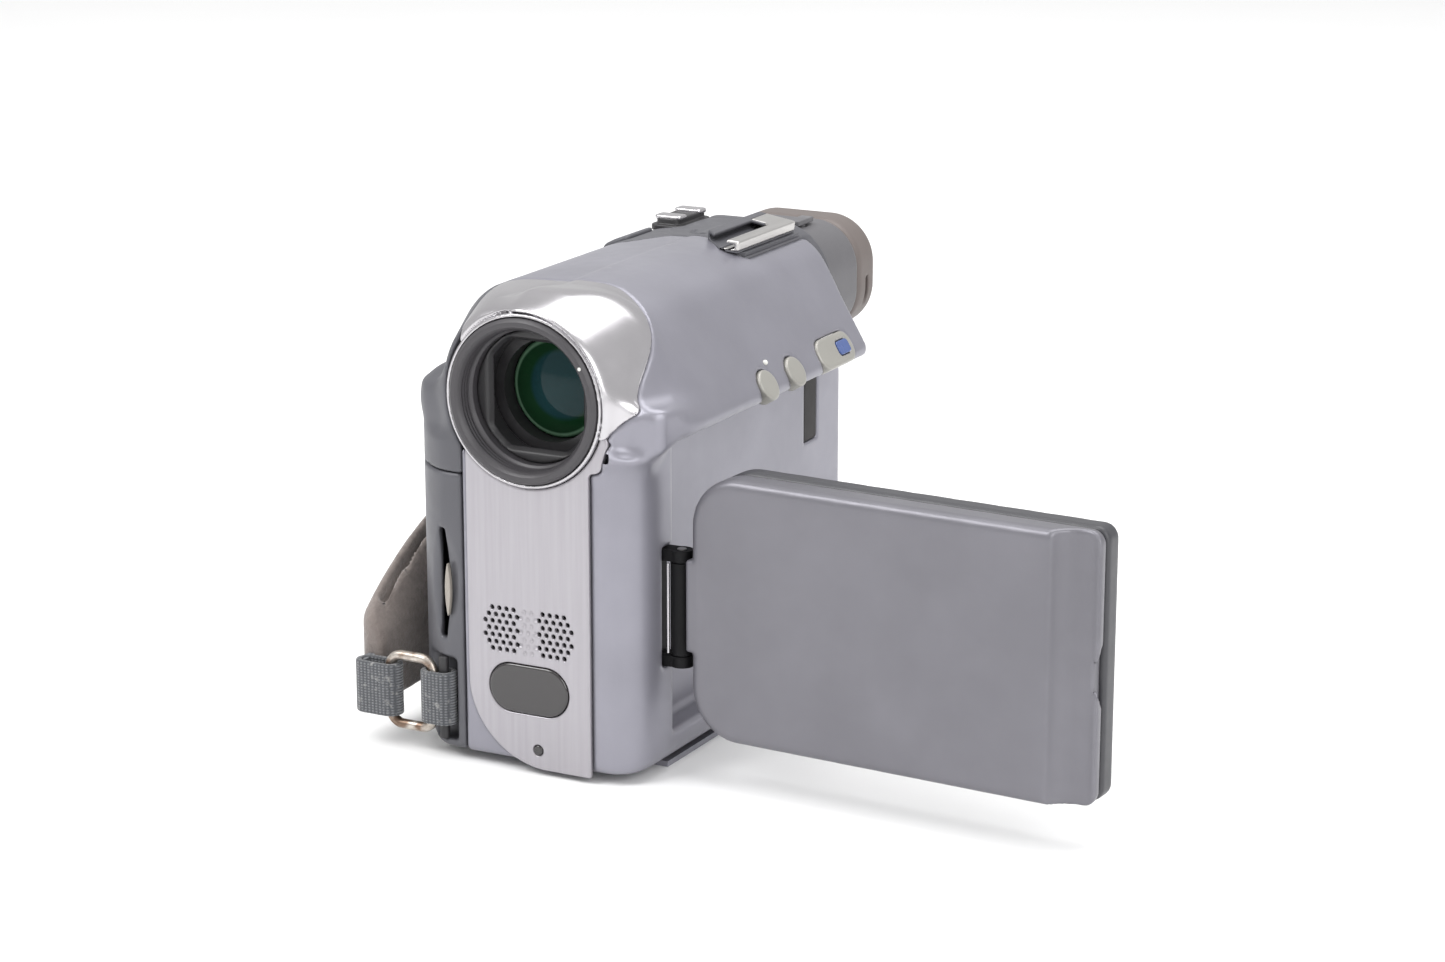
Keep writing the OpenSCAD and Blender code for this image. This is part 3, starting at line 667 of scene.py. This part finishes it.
def plate_outline(x, z, grown=0.0):
    """The faceplate's outline, with its small ear beside the lens."""
    low = smax(elbow(-x - 12.2 + 16.2, 16.6 - z, 16.2, 15.6), polygon(x, z, [
        (-12.2, 1), (12.2, 1), (12.2, 60), (-12.2, 60)], 0.6), 0.3)
    ear = polygon(x, z, [(11.2, 55.4), (14.4, 55.9), (16.3, 61.6), (15, 63), (10, 62)], 1.0)
    return smax(smin(low, ear, 1.0) - grown, 15.4 + grown - disc(x, z - LENS_Z, 0), 0.3)


def base_space(x, y, z, grown=0.0):
    return smax(rounded(x - 2, y - 47, 28.4 + 2 * grown, 77.6 + 2 * grown, 7 + grown), z - 3 - grown, 0.4)


# ---------------------------------------------------------------- pieces: the shells

def left_cabinet(x, y, z):
    d = cut(casing(x, y, z), hollow(x, y, z), 0.4)  # a wall all round
    d = cut(d, recess(x, y, z), 1.2)
    d = smax(d, SPLIT_X + 0.2 - x, 0.4)
    d = cut(d, cowl_space(x, y, z) - 0.12, 0.35)  # room for the bright collar
    d = cut(d, smax(plate_outline(x, z, 0.15), y - 0.8, 0.3), 0.4)  # seat of the faceplate
    d = cut(d, lens_bore(x, y, z), 0.4)
    d = cut(d, box(x, y, z, (19.6, 9.3, 20), (27, 14, 41.3)), 0.8)  # the hinge's pocket
    d = cut(d, box(x, y, z, (-9, -1, 8), (9, 3, 31)), 0.3)  # opening behind the faceplate
    d = cut(d, cover_space(x, y, z, 0.15), 0.4)
    d = cut(d, finder_bore(x, y, z, 0.4), 0.4)
    d = smax(d, smin(y - 79.9, smax(13.9 - x, z - 59, 0.5), 0.5), 0.5)  # room for the back cover
    d = cut(d, base_space(x, y, z, 0.2), 0.4)  # seat of the base plate
    d = cut(d, box(x, y, z, (13, 74.9, 44.3), (17, 80.5, 57.7)), 0.3)  # the jack cover's opening
    for key in (BACKLIGHT_KEY, DISPLAY_KEY):
        along, fall, out = slope_frame(x, y, z, *key)
        d = cut(d, smax(disc(along, fall, 3.08), np.abs(out) - 4, 0.3), 0.4)
    along, fall, out = slope_frame(x, y, z, *EASY_KEY)
    return cut(d, smax(rounded(fall, along, 6.2, 13.8, 2.7), np.abs(out) - 4, 0.3), 0.4)


def bulge(x, y, z, smaller=0.0):
    """The swelling beside the lens."""
    return ball(x, y, z, (-19.4, 9.5, 63.6), 6.3 - smaller)


def grip_cabinet(x, y, z):
    outer = smin(casing(x, y, z), bulge(x, y, z), 1.2)
    inner = smin(hollow(x, y, z), bulge(x, y, z, WALL), 1.2)
    d = cut(outer, inner, 0.4)
    d = all_of([d, x - SPLIT_X, DOOR_TOP + 0.2 - z, y - 86], 0.4)
    d = cut(d, lens_bore(x, y, z), 0.4)
    d = cut(d, cover_space(x, y, z, 0.15), 0.4)
    d = cut(d, finder_bore(x, y, z, 0.4), 0.4)
    return cut(d, smax(79.9 - y, z - 58.4, 0.5), 0.5)  # room for the back cover


def cassette_door(x, y, z):
    outer = casing(x, y, z)
    pocket_wall = box(x, y, z, (-24.4, -1, 2.2), (-14, 5.2, 19.8))  # round the strap ring's pocket
    shell = smax(outer, -smax(outer + WALL, -pocket_wall, 0.4), 0.4)
    d = all_of([shell, x - SPLIT_X + 0.2, 1.9 - z, z - DOOR_TOP, y - 79.6, 0.3 - y], 0.5)
    d = cut(d, box(x, y, z, (-22.9, -2, 3.4), (-15.2, 3.8, 18.6), 1.0), 0.6)  # the pocket
    d = cut(d, box(x, y, z, (-18.8, -2, 22), (-17.2, 8, 42)), 0.5)  # slot in the front edge
    # a shallow hollow round the slot
    scoop = np.sqrt((x + 19) ** 2 + (y + 4.6) ** 2 + (0.45 * (z - 32)) ** 2) - 6.9
    return cut(d, scoop, 0.5)


def rear_cover(x, y, z):
    d = smax(casing(x, y, z), -(casing(x, y, z) + WALL), 0.4)
    d = all_of([d, WING_Y - y, 3.4 - z, z - 58.2, x - 13.7], 0.5)
    d = cut(d, box(x, y, z, (-9.5, 71, 8.75), (9.5, 120, 54.25), 1.0), 0.6)  # the battery's opening
    d = cut(d, smax(disc(x - DIAL[0], z - DIAL[1], 8.1), 80 - y, 0.4), 0.5)  # the dial's hole
    d = cut(d, box(x, y, z, (-30, 79, 0), (-13.2, 84.6, 26)), 0.5)  # room for the door's swing
    d = cut(d, box(x, y, z, (-5, 84, 54.6), (5, 95, 58.5)), 0.3)  # the battery latch's slot
    return cut(d, box(x, y, z, (-14, 85, 57), (20, 100, 90)), 0.5)  # clear below the viewfinder


def lever_space(x, y, grown=0.0):
    return rounded(x - LEVER[0], y - LEVER[1], 8 + 2 * grown, 16.6 + 2 * grown, 2)


def button_space(x, y, grown=0.0):
    return rounded(x - PHOTO_KEY[0], y - PHOTO_KEY[1], 6 + 2 * grown, 11 + 2 * grown, 2 + grown)


def shoe_frame(x, y, z):
    """Coordinates on the sloping top beside the ridge: across, back and up from the surface."""
    a = math.radians(9)
    dx, dz = x - 8.3, z - 84.5
    return dx * math.cos(a) - dz * math.sin(a), y, dx * math.sin(a) + dz * math.cos(a)


def top_cover(x, y, z):
    skin = smax(casing(x, y, z), -(casing(x, y, z) + 2.0), 0.4)
    skin = all_of([skin, cover_space(x, y, z), y - 84], 0.4)
    collar = all_of([finder_shape(x, z, 2.4), slab(y, WING_Y + 0.1, 84), slab(x, -13.2, 20), 58.6 - z], 1.2)
    d = smin(skin, collar, 0.6)
    d = cut(d, smax(lever_space(x, y), 83 - z, 0.3), 0.4)
    d = cut(d, smax(button_space(x, y, 0.15), 76 - z, 0.3), 0.4)
    d = cut(d, ball(x, y, z, (3, 76, 99.1), 14.2), 1.2)  # finger dip
    d = cut(d, finder_bore(x, y, z, 0.3), 0.4)
    a, b, c = shoe_frame(x, y, z)
    d = cut(d, box(a, b, c, (-4.5, 56.9, -1.1), (4.5, 79.1, 6)), 0.3)
    # two short engraved strokes
    for p, q in (((-1.5, 63.5), (1.8, 61.8)), ((-1.5, 63.5), (-2.6, 66.5))):
        away = np.abs(line(x, y, p, q)) - 0.28
        span = slab((x - p[0]) * (q[0] - p[0]) + (y - p[1]) * (q[1] - p[1]), 0,
                    (q[0] - p[0]) ** 2 + (q[1] - p[1]) ** 2) / 3
        d = cut(d, all_of([away, span, top_height(y) - 1.9 - z], 0.2), 0.25)
    return d


def photo_button(x, y, z):
    return all_of([casing(x, y, z) - 0.7, button_space(x, y), 80.5 - z], 0.7)


def lens_cowl(x, y, z):
    """The bright collar: a skirt on the casing, a rim in front and a throat behind it."""
    r = disc(x, z - LENS_Z, 0)
    skirt = all_of([casing(x, y, z), -(casing(x, y, z) + WALL), cowl_space(x, y, z)], 0.4)
    skirt = cut(skirt, smax(r - 15.6, y - 1.2, 0.4), 0.5)
    collar = all_of([r - 15.3, slab(y, -1.2, 3)], 0.9)
    throat = all_of([r - 16.3, slab(y, 0.9, 17), 57 - z, SPLIT_X + 0.3 - x, cowl_space(x, y, z) - 1], 0.5)
    return cut(smin(smin(skirt, collar, 0.5), throat, 0.3), r - 14.6, 0.4)


def front_plate(x, y, z):
    """The faceplate with its window, lamp and microphone holes, and dimples between the two grilles."""
    d = smax(plate_outline(x, z), slab(y, -0.35, 0.65), 0.35)
    d = cut(d, window_shape(x, z, 0.12), 0.25)
    d = cut(d, disc(x - 1.7, z - 4.6, 1.0), 0.25)  # the recording lamp's hole
    dimples = None
    for row in range(-3, 4):
        shift = 0 if row % 2 == 0 else PITCH / 2
        h = GRILLE_Z + row * PITCH * 0.87
        for side in (-1, 1):
            for i in range(4 if abs(row) == 3 else 5):
                hole = disc(x - side * (2.2 + shift + i * PITCH), z - h, 0.43)
                d = cut(d, hole, 0.16)
        for i in (-1, 0, 1) if row % 2 == 0 else (-0.5, 0.5):
            dimple = ball(x, y, z, (i * PITCH, -0.55, h), 0.45)
            dimples = dimple if dimples is None else np.minimum(dimples, dimple)
    return cut(d, dimples, 0.1)


def window_shape(x, z, grown=0.0):
    """A round-ended window, 15.8 wide and 8.8 high."""
    side = np.maximum(np.abs(x) - 3.5, 0)
    return np.sqrt(side * side + (z - WINDOW_Z) ** 2) - 4.4 - grown


def window(x, y, z):
    return all_of([window_shape(x, z), slab(y, -0.5, 1.1)], 0.5)


def card_edge(x, y, z):
    """A pale leaf-shaped sliver in the door's front edge, between two arcs."""
    u, w = x + 16.8, z - 31
    return all_of([disc(u - 19.9, w, 20.5), disc(u + 19.9, w, 20.5), slab(casing(x, y, z), -0.9, 0.05)], 0.15)


moulded("screen_side_shell", left_cabinet, (-14, -1, -0.5), (28, 92.5, 88), 0.55, LAVENDER,
        "body", "left_cabinet")
moulded("grip_side_shell", grip_cabinet, (-29, -1, 51), (-13, 87, 87), 0.5, GRIP, "body", "grip_cabinet")
moulded("door_shell", cassette_door, (-29, -1, 1), (-13, 81, 53.5), 0.5, GRIP,
        "cassette_door", "cassette_door")
moulded("card_edge", card_edge, (-18, -1, 25), (-15, 3, 37), 0.15, CREAM, "cassette_door")
moulded("back_shell", rear_cover, (-29, 79, 2.5), (15, 93, 59.5), 0.5, LAVENDER, "body", "rear_cover")
moulded("top_shell", top_cover, (-23, 52, 57), (18, 85.5, 88), 0.4, GRIP, "body", "top_cover")
moulded("photo_key", photo_button, (-19, 55, 79), (-10, 69, 87), 0.3, GRIP, "photo_button", "photo_button")
moulded("bright_cowl", lens_cowl, (-17, -2, 50), (23, 30, 88), 0.3, CHROME, "body", "lens_cowl")
moulded("brushed_faceplate", front_plate, (-13.4, -1.2, 0), (17.6, 1.4, 64), 0.2, FACEPLATE,
        "body", "front_plate")
moulded("window", window, (-9, -1.2, 10), (9, 2, 21), 0.25, SMOKED, "body", "infrared_window")


# ---------------------------------------------------------------- pieces: the lens

thread = [(12.5 - 0.25 * (i % 2), -1.1 + 0.42 * i) for i in range(8)]
ring = [(11.8, 8), (14.5, 8), (14.5, -1.2), (13.9, -1.8), (13.1, -1.8), (12.7, -1.4)] + thread + [(11.8, 2.2)]
turned("lens_ring", soften(ring, 0.12), (0, 0, LENS_Z), RING_BLACK, "body", "filter_ring", steps=160)


def mask(x, y, z):
    """The black plate in front of the glass, with an eight-sided window that flares forwards."""
    d = smax(disc(x, z - LENS_Z, 11.7), slab(y, 3.4, 7.8), 0.3)
    window = polygon(x, z - LENS_Z, [(-8.5, -6), (-5.5, -9), (5.5, -9), (8.5, -6), (8.5, 6), (5.5, 9),
                                     (-5.5, 9), (-8.5, 6)], 0.8)
    d = cut(d, window - np.maximum(5 - y, 0) * 0.7, 0.3)
    return cut(d, smax(disc(x, z - LENS_Z, 10.8), 4.6 - y, 0.2), 0.2)


moulded("shaped_mask", mask, (-12.5, 3, 54), (12.5, 8.4, 80), 0.3, BLACK, "body", "lens_mask")
dome = [(r, 34.6 - math.sqrt(25 ** 2 - r * r)) for r in np.linspace(9, 0, 16)]
turned("coated_lens", [(0, 13.5), (9, 13.5)] + dome, (0, 0, LENS_Z), LENS_GLASS, "body", "front_lens")
moulded("ring_dot", lambda x, y, z: smax(disc(x - 11.6, z - LENS_Z - 7.1, 0.32), slab(y, -1.9, -1.5), 0.1),
        (11, -2.4, 73), (12.4, -1, 75), 0.1, WHITE, "body")

# ---------------------------------------------------------------- pieces: top, viewfinder and buttons

eased("zoom_lever", 0.35, BLACK)
for end in (-1, 1):
    moulded("lever_cap", lambda x, y, z: all_of([
        rounded(x - LEVER[0], y - LEVER[1] - end * 3.9, 5.6, 3.2, 0.8), slab(z, 85.2, 86.1)], 0.4),
            (-15, 70, 84.5), (-7, 84, 87), 0.2, CHROME, body_of("zoom_lever"))
eased("shoe_plate", 0.1, GRIP)


def shoe(x, y, z):
    """The shoe's rails and floor, and its own coordinates."""
    a, b, c = shoe_frame(x, y, z)
    d = box(a, b, c, (-3.9, 50, -0.15), (3.9, 78, 2.1), 0.25)
    d = cut(d, box(a, b, c, (-3.2, 49, 0.5), (3.2, 77, 1.5)), 0.2)
    d = cut(d, box(a, b, c, (-1.7, 49, 1), (1.7, 71, 3)), 0.2)
    return smax(d, cover_space(x, y, z, 1.2), 0.3), a, b, c


def bright_rail(x, y, z):
    d, a, b, c = shoe(x, y, z)
    return all_of([d, smin(1.0 - a, smax(71.5 - b, -2.2 - a, 0.2), 0.2), 0.3 - c], 0.15)


def dark_rail(x, y, z):
    d, a, b, c = shoe(x, y, z)
    return cut(d, bright_rail(x, y, z) - 0.05, 0.1)


moulded("shoe_rail", bright_rail, (3, 54, 82), (14, 80, 88.5), 0.22, STEEL, "body", "accessory_shoe")
moulded("shoe_floor", dark_rail, (3, 54, 82), (14, 80, 88.5), 0.22, GRIP, "body")


def finder_housing(x, y, z):
    d = all_of([finder_shape(x, z), slab(y, 64, 100)], 0.8)
    d = cut(d, smax(finder_shape(x, z, -1.6), 66 - y, 0.4), 0.4)
    return cut(d, smax(disc(x - FINDER[0] - 6, y - 92, 1.1), 78 - z, 0.2), 0.2)


def eyecup_shape(x, y, z):
    d = all_of([finder_shape(x, z), slab(y, 100.1, 108)], 1.8)
    hole = disc(x - FINDER[0], z - FINDER[1], 6.4) - np.maximum(y - 103, 0) * 0.4
    d = cut(d, smax(hole, 99 - y, 0.2), 0.8)
    return cut(d, all_of([rounded(y - 104.2, z - 68, 1.3, 6.2, 0.6), 14 - x], 0.2), 0.2)


moulded("finder_shell", finder_housing, (-15, 63, 59.5), (16, 101, 83.5), 0.45, COLLAR,
        body_of("viewfinder_housing"), "viewfinder_housing")
moulded("soft_eyecup", eyecup_shape, (-15, 99, 59.5), (16, 109, 83.5), 0.3, TAUPE,
        body_of("eyecup"), "eyecup")
eased("diopter_lever", 0.3, COLLAR)
finish(EYE_GLASS, "eyepiece_lens")


def slope_button(name, node, middle, down, outline, matter, top=0.5):
    """A button on the slanted side, domed a little on its outer face."""
    def field(x, y, z):
        along, fall, out = slope_frame(x, y, z, middle, down)
        return all_of([outline(along, fall), slab(out + (along ** 2 + fall ** 2) * 0.006, -2.4, top)], 0.5)
    cx, cz = CREST[0] + math.sin(SLOPE) * down, CREST[1] - math.cos(SLOPE) * down
    moulded(name, field, (cx - 5, middle - 8, cz - 5), (cx + 4, middle + 8, cz + 5), 0.25, matter,
            body_of(node), node)


def round_outline(along, fall):
    return disc(along, fall, ROUND_KEY_R)


def easy_outline(along, fall):
    return cut(rounded(fall, along, 6, 13.6, 2.6), rounded(fall, along - 2.6, 2.9, 4.7, 0.9), 0.15)


slope_button("backlight_key", "backlight_button", *BACKLIGHT_KEY, round_outline, BUTTON)
slope_button("display_key", "display_button", *DISPLAY_KEY, round_outline, BUTTON)
slope_button("easy_key", "easy_button", *EASY_KEY, easy_outline, BUTTON)
eased("easy_insert", 0.2, BLUE)
moulded("slope_dot", lambda x, y, z: ball(x, y, z, (24.3, 42.1, 67.6), 0.5), (23, 41, 66), (26, 43.5, 69),
        0.15, WHITE, "body")

# ---------------------------------------------------------------- pieces: the screen

def panel_frame(x, y):
    """Coordinates of the open screen: along it from the hinge axis, and towards its back."""
    dx, dy = x - HINGE[0], y - HINGE[1]
    return dx * math.cos(LEAN) - dy * math.sin(LEAN), dx * math.sin(LEAN) + dy * math.cos(LEAN)


def panel_shape(u, v, z, front, back, k):
    """A layer of the screen: larger corners at the hinge, a hollow grip along the far edge."""
    far = PANEL_U0 + PANEL_L
    middle = PANEL_U0 + PANEL_L / 2
    corner = np.where(u < middle, 9.0, 2.5)
    d = all_of([rounded(u - middle, z - 32, PANEL_L, PANEL_H, corner), PANEL_V0 + front - v,
                v - PANEL_V0 - back], k)
    return cut(d, disc(u - far + 2.4, v - PANEL_V0 + 2.0, 5.5), 0.5)


def tab(u, v, z, front, back):
    """The step at the hinge end."""
    return box(u, v, z, (PANEL_U0 - 0.9, PANEL_V0 + front, 23.8), (PANEL_U0 + 2, PANEL_V0 + back, 40.2), 0.5)


def shaft(u, v, z):
    """Room for the tilt shaft and its wider end."""
    v = v - PANEL_V0 - PANEL_T / 2
    return smax(smin(disc(v, z - 32, 1.46), smax(disc(v, z - 32, 2.75), 9.8 - u, 0.2), 0.2), u - 20, 0.2)


def cover(x, y, z):
    u, v = panel_frame(x, y)
    d = smin(panel_shape(u, v, z, 0, COVER_T, 1.8), tab(u, v, z, 0, COVER_T), 0.4)
    d = cut(d, box(u, v, z, (PANEL_U0 + 10.6, PANEL_V0 + 1.6, PANEL_Z0 + 2),
                   (PANEL_U0 + 67.6, PANEL_V0 + 20, PANEL_Z0 + PANEL_H - 2)), 0.4)
    d = cut(d, shaft(u, v, z), 0.2)
    notch = smax(disc(v - PANEL_V0 - 1.2, z - 31, 7.4), disc(v - PANEL_V0 - 10.4, z - 31, 7.4), 0.2)
    return cut(d, smax(notch, PANEL_U0 + PANEL_L - 0.9 - u, 0.2), 0.3)


def bezel(x, y, z):
    u, v = panel_frame(x, y)
    d = smin(panel_shape(u, v, z, COVER_T + 0.1, PANEL_T, 0.9), tab(u, v, z, COVER_T + 0.1, PANEL_T), 0.4)
    low = (PANEL_U0 + 10.8, PANEL_V0 + COVER_T, PANEL_Z0 + 9.5)
    d = cut(d, box(u, v, z, low, (low[0] + 60.2, low[1] + 3.2, low[2] + 34.4)), 0.2)
    d = cut(d, box(u, v, z, (low[0] + 0.8, low[1], low[2] + 0.8),
                   (low[0] + 59.4, low[1] + 8, low[2] + 33.6)), 0.3)
    d = cut(d, shaft(u, v, z), 0.2)
    for i in range(3):
        hole = rounded(u - PANEL_U0 - 22 - 12 * i, z - PANEL_Z0 - 4.8, 6.3, 3.3, 1.6)
        d = cut(d, smax(hole, PANEL_V0 + COVER_T + 0.5 - v, 0.2), 0.2)
    return d


moulded("screen_back", cover, (24, 0, 7), (104, 18, 57), 0.5, SCREEN_PLASTIC,
        body_of("screen_cover"), "screen_cover")
moulded("screen_frame", bezel, (24, 3, 7), (104, 22, 57), 0.5, BEZEL,
        body_of("screen_bezel"), "screen_bezel")
eased("screen_glass", 0.15, SCREEN_GLASS)
for name in ("screen_record_button", "screen_wide_button", "screen_tele_button"):
    eased(name, 0.3, RED if "record" in name else BUTTON)
eased("hinge_bracket", 0.15, HINGE_BLACK_AND_SHADE)
turned("bright_rod", soften([(0, 22.6), (0.3, 22.6), (0.3, 38.8), (0, 38.8)], 0.2), (22.1, 9.75, 0),
       CHROME, "body", steps=24, axis="z")


def pocket(x, y, z):
    """Painted shade: a thin dark sheet laid in the hollow that holds the hinge, darkening it like shade."""
    d = all_of([casing(x, y, z) + 0.8, box(x, y, z, (19.0, 8.7, 19.4), (27, 13.1, 41.9))], 0.3)
    return cut(d, box(x, y, z, (19.45, 9.15, 19.9), (28, 15, 41.5)), 0.2)


# a near-black sheet that stands in for the shade in the hinge's hollow
moulded("painted_pocket_shade", pocket, (18, 8, 18), (28, 14.5, 43), 0.3, HINGE_BLACK_AND_SHADE, "body")
eased("hinge_arm", 0.15, HINGE_BLACK_AND_SHADE)
eased("jack_cover", 0.4, RUBBER)

# ---------------------------------------------------------------- pieces: back, base and inside

def dial_seat(x, y, z):
    return all_of([disc(x - DIAL[0], z - DIAL[1], 9.6), slab(y, 81, 86.2), casing(x, y, z) + 0.25], 0.3)


moulded("dial_seat", dial_seat, (-29.5, 80, 29.5), (-8.5, 87, 50.5), 0.4, GRIP, "body")
eased("mode_dial", 0.35, BLACK)
eased("start_stop_button", 0.7, RED)
eased("battery", 1.0, BATTERY)
eased("battery_latch", 0.3, STEEL)
eased("base_plate", 0.3, LAVENDER)
eased("tripod_socket", 0.2, STEEL)
eased("eject_slider", 0.2, BLACK)
eased("body_screws", 0.2, STEEL)
eased("recording_lamp", 0.25, SMOKED)
finish(STEEL, "hinge_pin", "cassette_carriage", "head_drum")
finish(CASTING, "tape_chassis")
finish(BRASS, "battery_terminal")
finish(BOARD, "main_board", "image_sensor")
finish(BLACK, "lens_barrel", "speaker")
finish(RUBBER, "microphones")
finish(EYE_GLASS, "rear_lens")
finish(SMOKED, "viewfinder_display")
finish(WHITE, "supply_reel", "takeup_reel", "screen_backlight")

# ---------------------------------------------------------------- pieces: the strap

def pad_outer(y):
    return -38 + 9 * (np.maximum(y - 4, 0) / 74) ** 1.25


def pad_top(y):
    return 43 - 25 * (np.maximum(50 - y, 0) / 50) ** 2.2 - 3 * (np.maximum(y - 50, 0) / 30) ** 2


def pad_bottom(y):
    return 6 + 19 * (np.maximum(y, 0) / 80) ** 1.7


def pad(x, y, z):
    """Two layers of the folded strap, joined by the fold at the front and along the bottom."""
    outer = pad_outer(y)
    inner = np.minimum(outer + 5.0, -28.6)
    depth = (x - outer) / np.maximum(inner - outer, 1.5)
    top = pad_top(y) - 5 * np.clip(depth * 2 - 1, 0, 1)
    d = all_of([outer + 0.3 - x, x - inner, (z - top) * 0.75, (pad_bottom(y) - z) * 0.9,
                4.4 - y, y - 75.6], 1.5)
    middle = (outer + inner) / 2
    gap = all_of([np.abs(x - middle) - 0.45, (pad_bottom(y) + 7 - z) * 0.9, 7.5 - y, y - 54], 0.5)
    return cut(d, gap, 0.8)


def stuff(piece, held, pressure=4.0, limit=1.0, scale=10.0, steps=20):
    """Swells a padded piece by cloth simulation at a larger scale; points where held() is true stay still."""
    mesh = piece.data
    start = np.empty(len(mesh.vertices) * 3, np.float32)
    mesh.vertices.foreach_get("co", start)
    start = start.reshape(-1, 3)
    mesh.vertices.foreach_set("co", (start * scale).ravel())
    pins = piece.vertex_groups.new(name="stitching")
    x, y, z = (start / MM + [0, BACK, 0]).T
    pins.add([int(i) for i in np.flatnonzero(held(x, y, z))], 1.0, "REPLACE")
    cloth = piece.modifiers.new("stuffing", "CLOTH")
    cloth.settings.vertex_group_mass = pins.name
    cloth.settings.use_pressure = True
    cloth.settings.uniform_pressure_force = pressure
    cloth.settings.effector_weights.gravity = 0
    cloth.settings.quality = 6
    cloth.point_cache.frame_start = 1
    cloth.point_cache.frame_end = steps
    for step in range(1, steps + 1):
        bpy.context.scene.frame_set(step)
    done = piece.evaluated_get(bpy.context.evaluated_depsgraph_get()).data
    end = np.empty(len(mesh.vertices) * 3, np.float32)
    done.vertices.foreach_get("co", end)
    move = end.reshape(-1, 3) / scale - start
    length = np.linalg.norm(move, axis=1, keepdims=True)
    move *= np.minimum(1, limit * MM / np.maximum(length, 1e-9))
    piece.modifiers.remove(cloth)
    piece.vertex_groups.remove(pins)
    mesh.vertices.foreach_set("co", (start + move).ravel())
    mesh.update()
    bpy.context.scene.frame_set(1)


def pad_stitching(x, y, z):
    rim = np.minimum.reduce([pad_top(y) - z, z - pad_bottom(y), y - 4.4, 75.6 - y])
    return rim < 2.4


padding = moulded("padded_strap", pad, (-39.5, 3, 4), (-27.5, 77.5, 45), 0.65, SUEDE,
                  body_of("strap_pad"), "strap_pad")
stuff(padding, pad_stitching)
for name, low, high in (("front_tongue", (-36.5, 0.8, 6.4), (-34.5, 10, 15.6)),
                        ("rear_tongue", (-29.7, 72, 28), (-28.2, 78.2, 38))):
    moulded(name, lambda x, y, z: box(x, y, z, low, high, 0.7), np.array(low) - 1, np.array(high) + 1, 0.35,
            WOVEN, body_of("strap_webbing"))
eased("strap_webbing", 0.3, WOVEN)


def loop(x, y, z):
    """A round wire bent into a rectangle with rounded corners."""
    cx, cy, cz = RING_CENTRE
    return np.sqrt(rounded(x - cx, z - cz, 9.1, 12.8, 2.6) ** 2 + (y - cy) ** 2) - RING_WIRE_R


moulded("nickel_loop", loop, (-31.5, -0.5, 2.8), (-18.5, 3, 19.2), 0.25, NICKEL,
        body_of("strap_ring"), "strap_ring")
eased("strap_anchor", 0.2, BLACK)

# ---------------------------------------------------------------- floor, light and camera

AZIMUTH = math.radians(27.5)
ELEVATION = math.radians(15.0)
DISTANCE = 594.3                  # to the centre of the lens
FOCAL = 87.2                      # on a 36 mm sensor
LENS_SIDE, LENS_RISE = -0.0563, 0.0229   # where the lens lies from the middle of the view, over distance


def floor():
    half = 3.0
    corners = [(-half, -half, 0), (half, -half, 0), (half, half, 0), (-half, half, 0)]
    m = Matter("studio_floor", 0.6)
    m.colour(m.mix(m.noise(8, 3), srgb(238, 238, 238), srgb(242, 242, 242)))
    new_mesh("floor", corners, [(0, 1, 2, 3)], m.material, smooth=False)


def lamp(name, where, size, power, target=(0.02, 0, 0.04)):
    light = bpy.data.lights.new(name, "AREA")
    light.size = size
    light.energy = power
    piece = bpy.data.objects.new(name, light)
    piece.location = where
    piece.rotation_euler = (Vector(target) - Vector(where)).to_track_quat("-Z", "Y").to_euler()
    bpy.context.scene.collection.objects.link(piece)


def camera():
    a, e = AZIMUTH, ELEVATION
    forward = Vector((-math.sin(a) * math.cos(e), math.cos(a) * math.cos(e), -math.sin(e)))
    right = Vector((math.cos(a), math.sin(a), 0))
    up = right.cross(forward)
    data = bpy.data.cameras.new("view")
    data.lens = FOCAL
    data.sensor_width = 36.0
    piece = bpy.data.objects.new("view", data)
    turn = Matrix((right, up, -forward)).transposed().to_4x4()
    eye = place(0, 0, LENS_Z) - DISTANCE * MM * (forward + LENS_SIDE * right + LENS_RISE * up)
    piece.matrix_world = Matrix.Translation(eye) @ turn
    bpy.context.scene.collection.objects.link(piece)
    bpy.context.scene.camera = piece


floor()
lamp("key", (-0.5, -0.6, 0.9), 0.6, 9)
lamp("side", (0.8, -0.5, 0.5), 0.7, 5)
lamp("overhead", (0.1, 0.2, 1.1), 0.9, 9)
world = bpy.data.worlds.new("studio")
world.use_nodes = True
world.node_tree.nodes["Background"].inputs["Color"].default_value = (1, 1, 1, 1)
world.node_tree.nodes["Background"].inputs["Strength"].default_value = 0.75
bpy.context.scene.world = world
bpy.context.scene.view_settings.view_transform = "Standard"
camera()
